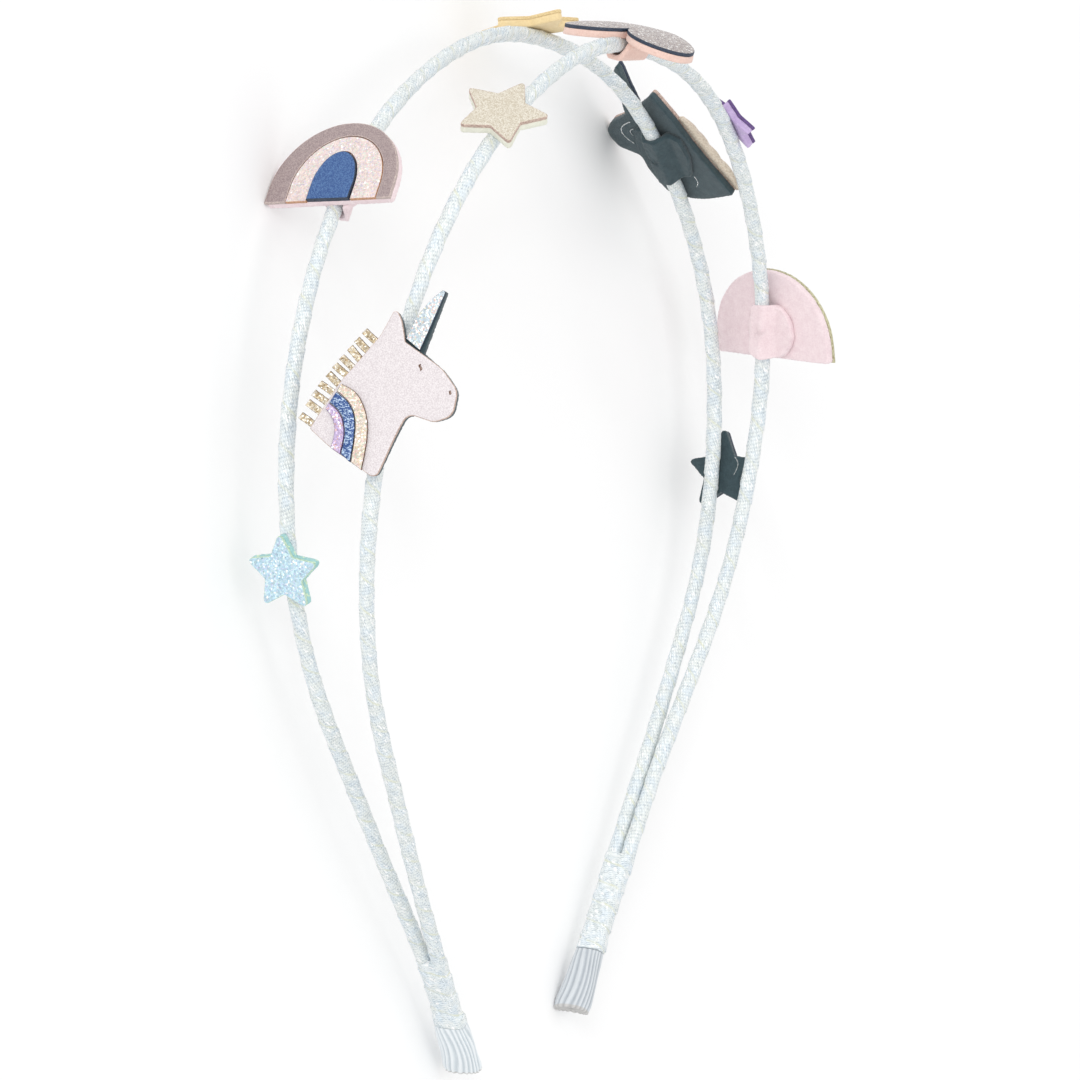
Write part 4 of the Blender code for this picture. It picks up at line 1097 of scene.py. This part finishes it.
def wrapped_tube(name, node, strand, first, last, look, pitch, section, around, ring_step, seed, step_height,
                 relief, wale, row, ends, start_turn=0.0):
    """Closed tube round a centre line, wrapped by a ribbon whose free edge stands up once a turn.

    section gives the offset (out, side) of the bare shape in mm for an angle and a share of the length."""
    rng = np.random.default_rng(seed)
    stations, lengths, places, tangents, outs, sides = centre_line(strand, first, last, 900)
    total = lengths[-1]
    count = int(total / ring_step) + 1
    where = np.linspace(0.0, total, count)
    centre, out, side = (resampled(lengths, v, where) for v in (places, outs, sides))
    turns = turns_of(total, pitch, rng)
    angle = 2.0 * math.pi * np.arange(around) / around
    share = where / total
    base_out, base_side, perimeter = section(angle[None, :], share[:, None])
    wraps = turns(where)[:, None] + angle[None, :] / (2.0 * math.pi) + start_turn
    part = wraps - np.floor(wraps)
    run = np.hypot(perimeter, pitch)
    width = pitch * perimeter / run
    u, v = part * width, run * (angle[None, :] / (2.0 * math.pi) - np.floor(wraps)) + part * pitch * pitch / run
    lap = step_height * (np.clip(part * 1.15, 0.0, 1.0) ** 1.6 - 0.45)
    edge = step_height * 0.35 * np.exp(-((part - 0.955) / 0.05) ** 2)
    swell = 0.03 * np.sin(where / 7.3 + seed)[:, None] + 0.02 * np.sin(where / 2.9 + 2.0 * seed)[:, None]
    height = lap + edge + swell + relief * knit_relief(u, v, wale, row) + relief * 0.5 * rng.normal(size=part.shape)
    length = np.sqrt(base_out ** 2 + base_side ** 2)
    grow = 1.0 + height / np.maximum(length, 0.3)
    points = centre[:, None, :] + out[:, None, :] * (base_out * grow)[:, :, None] \
        + side[:, None, :] * (base_side * grow)[:, :, None]
    verts = points.reshape(-1, 3)
    faces, uvs = [], []
    step = 2.0 * math.pi / around
    turn_at = turns(where) + start_turn
    for i in range(count - 1):
        base, above = i * around, (i + 1) * around
        for j in range(around):
            k = (j + 1) % around
            faces.append((base + j, base + k, above + k, above + j))
    j = np.arange(around)
    low_turn, high_turn = turn_at[:-1, None], turn_at[1:, None]
    share_a, share_b = j[None, :] / around, (j[None, :] + 1) / around
    n = np.floor(0.5 * (low_turn + high_turn) + 0.5 * (share_a + share_b))
    corners = []
    for turn, part_angle in ((low_turn, share_a), (low_turn, share_b), (high_turn, share_b), (high_turn, share_a)):
        p = turn + part_angle - n
        run_1 = float(np.mean(run))
        width_1 = float(np.mean(width))
        corners.append(np.stack([p * width_1, run_1 * (part_angle - n) + p * pitch * pitch / run_1], axis=-1))
    uvs = np.stack(corners, axis=2).reshape(-1, 4, 2)
    uv_list = [uvs.reshape(-1, 2)]
    extra = []
    # rounded ends
    verts = list(map(tuple, verts))
    for end, ring, direction in ((0, 0, -1.0), (1, count - 1, 1.0)):
        reach, rows = ends[end]
        tangent = tangents[0] if end == 0 else tangents[-1]
        previous = [ring * around + j for j in range(around)]
        middle = centre[ring]
        for row_index in range(1, rows + 1):
            t = row_index / rows
            scale = math.sqrt(max(0.0, 1.0 - (t * 0.96) ** 2))
            shift = np.asarray(tangent) * direction * reach * t
            current = []
            for j in range(around):
                p = middle + (points[ring, j] - middle) * scale + shift
                current.append(len(verts))
                verts.append(tuple(p))
            for j in range(around):
                k = (j + 1) % around
                face = (previous[j], previous[k], current[k], current[j])
                faces.append(face if end == 1 else tuple(reversed(face)))
                extra += [(1.0, 0.1 * j), (1.0, 0.1 * j + 0.1), (1.2, 0.1 * j + 0.1), (1.2, 0.1 * j)]
            previous = current
        faces.append(tuple(previous) if end == 1 else tuple(reversed(previous)))
        extra += [(1.0, 0.1 * j) for j in range(around)]
    uv_list.append(np.asarray(extra))
    made = finished(name, node, np.asarray(verts), faces, [look], None, REST, True, None, np.concatenate(uv_list))
    return made


def round_section(radius):
    def at(angle, share):
        r = radius + 0.0 * share
        return r * np.cos(angle), r * np.sin(angle), 2.0 * math.pi * radius
    return at


def oval(sections, waist=0.0, square=0.5):
    """Flattened round section from a table of (share, width, thickness)."""
    shares = [s[0] for s in sections]

    def at(angle, share):
        width = np.interp(share, shares, [s[1] for s in sections]) / 2.0
        thick = np.interp(share, shares, [s[2] for s in sections]) / 2.0
        c, s = np.cos(angle), np.sin(angle)
        out = thick * np.sign(c) * np.abs(c) ** square
        side = width * np.sign(s) * np.abs(s) ** (0.5 + 0.5 * square)
        out = out * (1.0 - waist * np.exp(-(side / 0.5) ** 2))
        perimeter = 2.0 * math.pi * math.sqrt(float(np.mean(width)) ** 2 / 2.0 + float(np.mean(thick)) ** 2 / 2.0) * 1.05
        return out, side, perimeter
    return at


for strand, start in ((1, 0.15), (2, 0.62)):
    wrapped_tube(f"strand_{strand}_piece", f"strand_{strand}", strand, STRAND_FIRST - 0.03,
                 STRAND_LAST + 0.03, "knit", RIBBON_PITCH, round_section(1.02), 26, 0.15, 20 + strand, 0.085, 0.018,
                 0.62, 0.27, ((0.3, 2), (0.3, 2)), start)

NEAR_WRAP = ((0.0, 4.65, 2.5), (0.13, 4.45, 2.45), (0.17, 4.05, 2.25), (0.5, 3.95, 2.2), (0.85, 4.0, 2.25), (1.0, 4.2, 2.25))
FAR_WRAP = ((0.0, 4.1, 2.2), (0.3, 3.85, 2.2), (0.83, 3.7, 2.25), (0.87, 3.95, 2.4), (1.0, 4.0, 2.4))
wrapped_tube("near_joint_wrap_piece", "near_joint_wrap", 0, JOINT_NEAR[0] - 0.01, JOINT_NEAR[1], "knit_joint",
             JOINT_PITCH, oval(NEAR_WRAP, 0.05), 44, 0.12, 31, 0.12, 0.02, 0.66, 0.28, ((0.1, 2), (0.25, 3)), 0.35)
wrapped_tube("far_joint_wrap_piece", "far_joint_wrap", 0, JOINT_FAR[0], JOINT_FAR[1] + 0.01, "knit_joint",
             JOINT_PITCH, oval(FAR_WRAP, 0.05), 44, 0.12, 32, 0.12, 0.02, 0.66, 0.28, ((0.25, 3), (0.1, 2)), 0.1)


# ---------------------------------------------------------------- ribbed tip covers
def tip_cover(name, node, stations, sections, upward, ribs, seed, sway, look="rib"):
    """Gathered ribbed sleeve; upward is True where the open lower hem is at the first station."""
    rng = np.random.default_rng(seed)
    around, rows = ribs * 8, 56
    _, lengths, places, tangents, outs, sides = centre_line(0, stations[0], stations[1], 120)
    total = lengths[-1]
    where = np.linspace(0.0, total, rows)
    centre, out, side = (resampled(lengths, v, where) for v in (places, outs, sides))
    angle = 2.0 * math.pi * np.arange(around) / around
    share = where / total
    base_out, base_side, _ = oval(sections, 0.0, 0.62)(angle[None, :], share[:, None])
    down = (1.0 - share if upward else share)[:, None]          # 0 under the wrap, 1 at the hem
    swing = sway * np.sin(np.pi * np.clip(down, 0.0, 1.0))
    phase = angle[None, :] + swing
    uneven = 0.35 * np.sin(3.0 * phase + seed) + 0.2 * np.sin(5.0 * phase + 2.0 * seed)
    ridge = np.cos(ribs * phase + uneven)
    ridge = np.sign(ridge) * np.abs(ridge) ** 0.7
    depth = 0.105 * (0.35 + 0.65 * np.clip(down / 0.2, 0.0, 1.0)) * (1.0 - 0.35 * np.clip((down - 0.9) / 0.1, 0.0, 1.0))
    height = depth * ridge + 0.05 * np.sin(2.0 * phase + 7.0 * down + seed)
    length = np.sqrt(base_out ** 2 + base_side ** 2)
    grow = 1.0 + height / length
    points = centre[:, None, :] + out[:, None, :] * (base_out * grow)[:, :, None] \
        + side[:, None, :] * (base_side * grow)[:, :, None]
    hem = 0 if upward else rows - 1
    direction = np.asarray(tangents[0 if upward else -1]) * (-1.0 if upward else 1.0)
    scallop = 0.05 * ridge[hem] + 0.12 * np.sin(2.0 * angle + seed)
    for i in range(rows):
        near = math.exp(-((down[i, 0] - 1.0) / 0.12) ** 2)
        points[i] += direction[None, :] * (scallop * near)[:, None]
    verts = list(map(tuple, points.reshape(-1, 3)))
    # the map carries the rib height, which the cloth turns into painted highlight and painted shade, and the share down
    # the cover
    marks = list(zip((0.5 + 0.5 * ridge).ravel(), np.broadcast_to(down, ridge.shape).ravel()))
    faces = []
    for i in range(rows - 1):
        for j in range(around):
            k = (j + 1) % around
            faces.append((i * around + j, i * around + k, (i + 1) * around + k, (i + 1) * around + j))
    for end, ring in ((0, 0), (1, rows - 1)):
        is_hem = (ring == hem)
        middle = points[ring].mean(axis=0)
        sign = -1.0 if end == 0 else 1.0
        tangent = np.asarray(tangents[0 if end == 0 else -1]) * sign
        previous = [ring * around + j for j in range(around)]
        # the hem rolls over a soft edge and tucks in; the other end closes flat under the wrap
        moves = ((0.97, 0.10), (0.90, 0.16), (0.80, 0.15), (0.66, 0.05), (0.45, -0.02), (0.2, -0.04)) if is_hem \
            else ((0.8, 0.05), (0.4, 0.06))
        for scale, shift in moves:
            current = []
            for j in range(around):
                current.append(len(verts))
                verts.append(tuple(middle + (points[ring, j] - middle) * scale + tangent * shift))
                marks.append(marks[ring * around + j])
            for j in range(around):
                k = (j + 1) % around
                face = (previous[j], previous[k], current[k], current[j])
                faces.append(face if end == 1 else tuple(reversed(face)))
            previous = current
        faces.append(tuple(previous) if end == 1 else tuple(reversed(previous)))
    map_points = [marks[i] for face in faces for i in face]
    return finished(name, node, np.asarray(verts), faces, [look], None, REST, True,
                    uv=map_points)


NEAR_TIP = ((0.0, 5.15, 2.2), (0.1, 5.3, 2.5), (0.5, 4.9, 2.75), (0.8, 4.6, 2.75), (1.0, 4.5, 2.5))
FAR_TIP = ((0.0, 3.7, 2.35), (0.15, 3.9, 2.5), (0.5, 4.45, 2.55), (0.9, 4.95, 2.3), (1.0, 4.85, 2.0))
tip_cover("near_tip_cover_piece", "near_tip_cover", TIP_NEAR, NEAR_TIP, True, 19, 3, -0.25)
# the far tip cover takes the darker copy of the ribbed cloth, painted shade
tip_cover("far_tip_cover_piece", "far_tip_cover", TIP_FAR, FAR_TIP, False, 17, 5, 0.2, "rib_shaded")


# ---------------------------------------------------------------- discs over the strands
def disc(node, plaque, look, centre, radius, bend=(0.0, 0.0), seed=1, rim_z=FELT_Z[0], squarish=0.0, steps=0):
    """Felt patch that lies on the back of a decoration and is drawn up over the strand."""
    rng = np.random.default_rng(seed)
    turn = math.radians(PLACES[plaque][4])
    across_shift, along_shift, lift = PLACES[plaque][5:]
    rings, spokes = 16, 96
    edge_noise = 0.10 * ring_noise(spokes, 18, rng)
    strand_top = -lift            # surface of the strand that faces the decoration
    under = strand_top - 2.0 * STRAND_RADIUS - 0.12

    def from_strand(x, y):
        return abs(x * math.cos(turn) - (y + along_shift) * math.sin(turn) + across_shift)

    def inner(x, y):
        d = from_strand(x, y)
        droop = (bend[0] * x * x + bend[1] * y * y) / 2.0
        if d < 1.0:
            return under + STRAND_RADIUS - math.sqrt(max(STRAND_RADIUS ** 2 - d * d, 0.0))
        start = under + STRAND_RADIUS - math.sqrt(STRAND_RADIUS ** 2 - 1.0)
        flat = rim_z - 0.02 - droop
        share = min(max((d - 1.0) / 0.75, 0.0), 1.0)
        return start + (flat - start) * share * share * (3.0 - 2.0 * share)

    def outer(x, y):
        d = from_strand(x, y)
        droop = (bend[0] * x * x + bend[1] * y * y) / 2.0
        flat = rim_z - 0.9 - droop
        high = under - 0.6
        share = min(max((d - 0.8) / 1.5, 0.0), 1.0)
        return high + (flat - high) * share * share * (3.0 - 2.0 * share)

    verts, faces = [], []
    layers = []
    for level, height in enumerate((inner, outer)):
        start = len(verts)
        verts.append((centre[0], centre[1], height(*centre)))
        for ring in range(1, rings + 1):
            for spoke in range(spokes):
                angle = 2.0 * math.pi * spoke / spokes
                r = radius * ring / rings
                if ring == rings:
                    r += edge_noise[spoke] - 0.12
                if squarish:
                    c, s = abs(math.cos(angle)), abs(math.sin(angle))
                    r *= 1.0 + squarish * ((1.0 / max(c, s)) - 1.0)
                x, y = centre[0] + r * math.cos(angle), centre[1] + r * math.sin(angle)
                verts.append((x, y, height(x, y) + (0.025 * rng.normal() if 0 < ring < rings else 0.0)))
        layers.append(start)
    count = spokes
    for level, start in enumerate(layers):
        flip = level == 1
        for spoke in range(spokes):
            k = (spoke + 1) % spokes
            face = (start, start + 1 + spoke, start + 1 + k)
            faces.append(tuple(reversed(face)) if flip else face)
            for ring in range(rings - 1):
                a, b = start + 1 + ring * count, start + 1 + (ring + 1) * count
                face = (a + spoke, b + spoke, b + k, a + k)
                faces.append(tuple(reversed(face)) if flip else face)
    # wall with a soft bulge
    top, bottom = layers[0] + 1 + (rings - 1) * count, layers[1] + 1 + (rings - 1) * count
    previous = [top + i for i in range(count)]
    mids = []
    for share in (0.18, 0.42, 0.66, 0.86):
        current = []
        for spoke in range(spokes):
            a, b = np.asarray(verts[top + spoke]), np.asarray(verts[bottom + spoke])
            p = a + (b - a) * share
            angle = 2.0 * math.pi * spoke / spokes
            bulge = 0.13 * math.sin(math.pi * share) + 0.02 * rng.normal()
            p[0] += bulge * math.cos(angle)
            p[1] += bulge * math.sin(angle)
            current.append(len(verts))
            verts.append(tuple(p))
        mids.append(current)
    for current in mids + [[bottom + i for i in range(count)]]:
        for spoke in range(spokes):
            k = (spoke + 1) % spokes
            faces.append((previous[k], previous[spoke], current[spoke], current[k]))
        previous = current
    return finished(node + "_piece", node, np.asarray(verts), faces, [look], None, PLACED[plaque], True)


# ---------------------------------------------------------------- stars
STAR_PIECES = {
    #             felt look      slot              sheet look      slot                 edge        cell  relief flat
    "blue_star": ("teal_felt", "teal_felt", "blue_glitter", "blue_glitter", "lime_edge", 0.27, 0.02, True),
    "gold_star": ("lime_felt", "pale_lime_felt", "gold_grain", "gold_leatherette", "burnt_soft", 0.4, 0.03, False),
    "sand_star": ("sand_felt", "sand_felt", "sand_sheet", "sand_glitter", "sand_edge", 0.3, 0.02, True),
    "dark_star": ("dark_felt", "dark_felt", "dark_sheet", "dark_glitter", "burnt_navy", 0.3, 0.025, True),
    "purple_star": ("purple_felt", "purple_felt", "purple_sheet", "purple_leatherette", "purple_edge", 0.4, 0.015, False),
}
for number, (star, sizes) in enumerate(STARS.items()):
    felt_look, felt_slot, look, slot, edge, cell, relief, flat = STAR_PIECES[star]
    outline = star_outline(*sizes, STAR_POINTS.get(star, (0.0,) * 5))
    felt_piece(star + "_felt", outline, felt_look, star, seed=40 + number, strings=GLUE_STRINGS.get(star, ()))
    sheet_piece(star + "_front", outline, look, star, seed=60 + number, edge=edge, cell=cell, flakes=relief,
                flat=flat)

# ---------------------------------------------------------------- rainbows
for number, (rainbow, scale) in enumerate(RAINBOW_SCALES.items()):
    outer, middle, inner = (tuple(scale * v for v in sizes) for sizes in (RAINBOW_OUTER, RAINBOW_MIDDLE, RAINBOW_INNER))
    near = rainbow == "near_rainbow"
    felt_piece(rainbow + "_felt", solid_arch(outer), "pink_felt", rainbow, seed=80 + number)
    sheet_piece(rainbow + "_outer_band", arch_band(outer, middle), "mauve", rainbow,
                seed=82 + number, edge="mauve_edge" if near else "olive_edge", cell=0.45, flakes=0.012, bevel=0.12)
    sheet_piece(rainbow + "_middle_band", arch_band(middle, inner), "pink_glitter", rainbow,
                seed=84 + number, edge="orange_edge", cell=0.27, flakes=0.02, flat=True, bevel=0.05)
    sheet_piece(rainbow + "_inner_half_disc", solid_arch(inner, 0.1), "blue_sheet", rainbow,
                z=(SHEET_Z[0], SHEET_Z[1] + 0.25), seed=86 + number, edge="burnt_navy", cell=0.4, flakes=0.01, bevel=0.09)
disc("near_rainbow_disc", "near_rainbow", "pink_felt", (0.85, 2.95), 3.5, seed=90)
disc("far_rainbow_disc", "far_rainbow", "pink_felt", (-0.55, 4.25), 4.05, seed=91)


# ---------------------------------------------------------------- unicorn heads
def slot_outline(middle, length, width, turn, curl=0.0):
    """Small S-shaped cut."""
    points = []
    for sign in (1.0, -1.0):
        for i in range(9):
            t = (i / 8.0 - 0.5) * sign
            x = t * length
            half = width / 2.0 * math.sqrt(max(0.0, 1.0 - (2.0 * abs(t)) ** 2.6)) + 0.03
            y = curl * math.sin(2.0 * math.pi * t) + sign * half
            points.append((middle[0] + x * math.cos(turn) - y * math.sin(turn),
                           middle[1] + x * math.sin(turn) + y * math.cos(turn)))
    return points


MANE_BAR_CENTRES = ((-3.45, 7.01), (-4.21, 5.65), (-4.95, 4.39), (-5.73, 3.07), (-6.40, 1.92), (-7.02, 0.58),
                    (-7.81, -0.69), (-8.38, -2.06), (-8.85, -3.46), (-9.46, -5.26))


def mane_bars(node, plaque, seed):
    """Ten cut glitter bars that stand out from the back of the neck."""
    rng = np.random.default_rng(seed)
    line = smooth_line(MANE)
    shares = [k / 200.0 for k in range(201)]
    spots = [line_at(line, share) for share in shares]
    all_verts, all_faces, all_picks = [], [], []
    start = 0
    for i, place in enumerate(MANE_BAR_CENTRES):
        centre = Vector(place)
        point, normal = min(spots, key=lambda spot: (spot[0] - centre).length)
        tangent = Vector((normal.y, -normal.x))
        half = MANE_BAR_WIDTH / 2.0 * rng.uniform(0.97, 1.05)
        inner = max((centre - point).dot(normal) + 0.22, 0.9)
        reach = 1.15 * rng.uniform(0.96, 1.04)
        tilt = rng.normal() * 0.04
        corners = []
        for share, out in ((-1, -inner), (-1, reach), (1, reach), (1, -inner)):
            p = centre + normal * out + tangent * (share * half * rng.uniform(0.97, 1.03) + tilt * out)
            corners.append((p.x, p.y, 0.10))
        low, high = SHEET_Z[0] - 0.05, SHEET_Z[1] - 0.07
        profile = [(0.03, low), (0.0, low + 0.12), (0.0, high - 0.12), (0.02, high - 0.03), (0.05, high)]
        verts, faces, picks = plate(rounded(corners, 3), profile, 0.16, 0.26, seed + i, 0.025, 0.012, 0.03, 0.0)
        all_verts.append(verts)
        all_faces += [tuple(v + start for v in f) for f in faces]
        all_picks.append(picks)
        start += len(verts)
    picks = np.concatenate(all_picks)
    return finished(node + "_piece", node, np.concatenate(all_verts), all_faces,
                    ["gold_glitter", "burnt"], np.where(picks == 0, 0, 1), PLACED[plaque], picks != 0)


def longer(edge, more):
    """A band's edge carried on past its last point."""
    before, last = Vector(edge[-2]), Vector(edge[-1])
    last = last + (last - before).normalized() * more
    return edge[:-1] + ((last.x, last.y),)


NECK_EDGES = tuple(longer(edge, more) for edge, more in zip(BAND_EDGES, (0.5, 0.45, 0.4, 0.35)))
for number, (unicorn, horn_corners) in enumerate(HORNS.items()):
    near = unicorn == "near_unicorn"
    corners = HEAD if near else FAR_HEAD
    if not near:
        horn_corners = tuple((x + shift, y, r) for (x, y, r), shift in
                             zip(horn_corners, (0.9, 0.65, 0.3, 0.05, 0.0, 0.0, 0.0, 0.0)))
    foot_back = (horn_corners[0][0] - 0.05, horn_corners[0][1] - 0.05, 0.25)
    foot_front = (horn_corners[-1][0] + 0.15, horn_corners[-1][1] - 0.05, 0.2)
    outline = corners[:2] + (foot_back,) + horn_corners[1:-1] + (foot_front,) + corners[4:]
    felt_piece(unicorn + "_felt", rounded(outline, 6), "dark_felt", unicorn, seed=100 + number,
               grow=-0.1 if near else 0.0, strings=GLUE_STRINGS.get(unicorn, ()))
    eye = slot_outline((4.28, 4.23) if near else (3.6, 3.9), 0.97, 0.30, math.radians(-77.0), 0.11)
    nostril = slot_outline((9.0, 1.72) if near else (8.5, 1.0), 0.62, 0.28, math.radians(-77.0), 0.03)
    sheet_piece(unicorn + "_head", rounded(corners, 6), "head", unicorn, seed=102 + number,
                edge="burnt_soft", cell=0.45, flakes=0.012, holes=(eye, nostril), bevel=0.08)
    front = horn_corners
    if near:
        front = tuple((x - shift, y, r) for (x, y, r), shift in zip(horn_corners, (0.0, 0.0, 0.0, 0.06, 0.12)))
    sheet_piece(unicorn + "_horn", rounded(front, 5), "horn", unicorn, seed=104 + number,
                edge="burnt_navy", cell=0.26, flakes=0.02, flat=True, bevel=0.05)
    for band, look, slot_name, edge, cell, relief, flat in (
        ("outer_neck_band", "peach", "peach_glitter", "burnt", 0.27, 0.018, True),
        ("middle_neck_band", "blue_streaks", "blue_leatherette", "burnt_navy", 0.5, 0.01, False),
        ("inner_neck_band", "lilac", "lilac_glitter", "purple_edge", 0.27, 0.018, True),
    ):
        index = ("outer_neck_band", "middle_neck_band", "inner_neck_band").index(band)
        sheet_piece(f"{unicorn}_{band}", neck_band(NECK_EDGES[index], NECK_EDGES[index + 1]), look, unicorn,
                    z=BAND_Z, seed=110 + 3 * number + index, edge=edge, cell=cell, flakes=relief, flat=flat,
                    bevel=0.06)
mane_bars("near_unicorn_mane", "near_unicorn", 130)
sheet_piece("far_unicorn_mane", mane_wave(), "beige_glitter", "far_unicorn", seed=140,
            edge="cream_edge", cell=0.3, flakes=0.018, flat=True)
disc("near_unicorn_tab", "near_unicorn", "dark_felt", (0.0, 0.0), 4.3, seed=92)
disc("far_unicorn_tab", "far_unicorn", "dark_felt", (0.0, 0.0), 4.3, seed=93, squarish=0.5)

# ---------------------------------------------------------------- heart
HEART_BEND = (HEART_BEND_ACROSS, HEART_BEND_ALONG)
heart = [heart_edge(2.0 * math.pi * i / 120.0) for i in range(120)]
felt_piece("heart_felt", heart, "coral_felt", "heart", seed=150, bend=HEART_BEND)
sheet_piece("heart_front", heart, "rose", "heart", seed=151, edge="burnt_navy", cell=0.27, flakes=0.02,
            flat=True, bend=HEART_BEND)
disc("heart_disc", "heart", "coral_felt", (0.6, 0.3), 4.1, HEART_BEND, seed=94)


# ---------------------------------------------------------------- floor, light
def make_stage():
    mesh = bpy.data.meshes.new("floor")
    size, count = 4.0, 8
    verts = [(size * (i / count - 0.5) * 2.0, size * (j / count - 0.5) * 2.0, -0.00003)
             for i in range(count + 1) for j in range(count + 1)]
    faces = [(i * (count + 1) + j, (i + 1) * (count + 1) + j, (i + 1) * (count + 1) + j + 1, i * (count + 1) + j + 1)
             for i in range(count) for j in range(count)]
    mesh.from_pydata(verts, [], faces)
    look = Look("floor_paper", roughness=0.9)
    look.shader.inputs["Specular IOR Level"].default_value = 0.1
    tone = look.noise(look.place(0.01), 1.0, 3.0, 0.5)
    look.set(Base_Color=look.ramp(tone, [(0.3, (0.93, 0.93, 0.93, 1.0)), (0.7, (0.96, 0.96, 0.96, 1.0))]))
    mesh.materials.append(look.material)
    floor = bpy.data.objects.new("floor", mesh)
    bpy.context.scene.collection.objects.link(floor)

    world = bpy.data.worlds.new("studio")
    world.use_nodes = True
    background = world.node_tree.nodes["Background"]
    background.inputs[0].default_value = (1.0, 1.0, 1.0, 1.0)
    background.inputs[1].default_value = 0.965
    bpy.context.scene.world = world

    target = Vector((0.0, 0.0, 0.012))

    def area(name, direction, distance, size, watts):
        data = bpy.data.lights.new(name, "AREA")
        data.shape = "DISK"
        data.size = size
        data.energy = watts
        lamp = bpy.data.objects.new(name, data)
        bpy.context.scene.collection.objects.link(lamp)
        lamp.location = target + direction.normalized() * distance
        lamp.rotation_euler = direction.to_track_quat("Z", "Y").to_euler()
        return lamp

    # main light a little above and to the left of the view, so that its shadows fall behind the object
    area("key", VIEW_BACK - VIEW_RIGHT * 0.10 + VIEW_UP * 0.32, 1.9, 0.8, 6.8)
    area("fill", VIEW_BACK * 0.8 + VIEW_RIGHT * 0.9 + VIEW_UP * 0.1, 1.6, 0.9, 1.6)
    area("spark", VIEW_BACK * 0.9 + VIEW_UP * 0.9 - VIEW_RIGHT * 0.05, 1.5, 0.10, 1.2)


make_stage()
bpy.context.scene.view_settings.view_transform = "Standard"
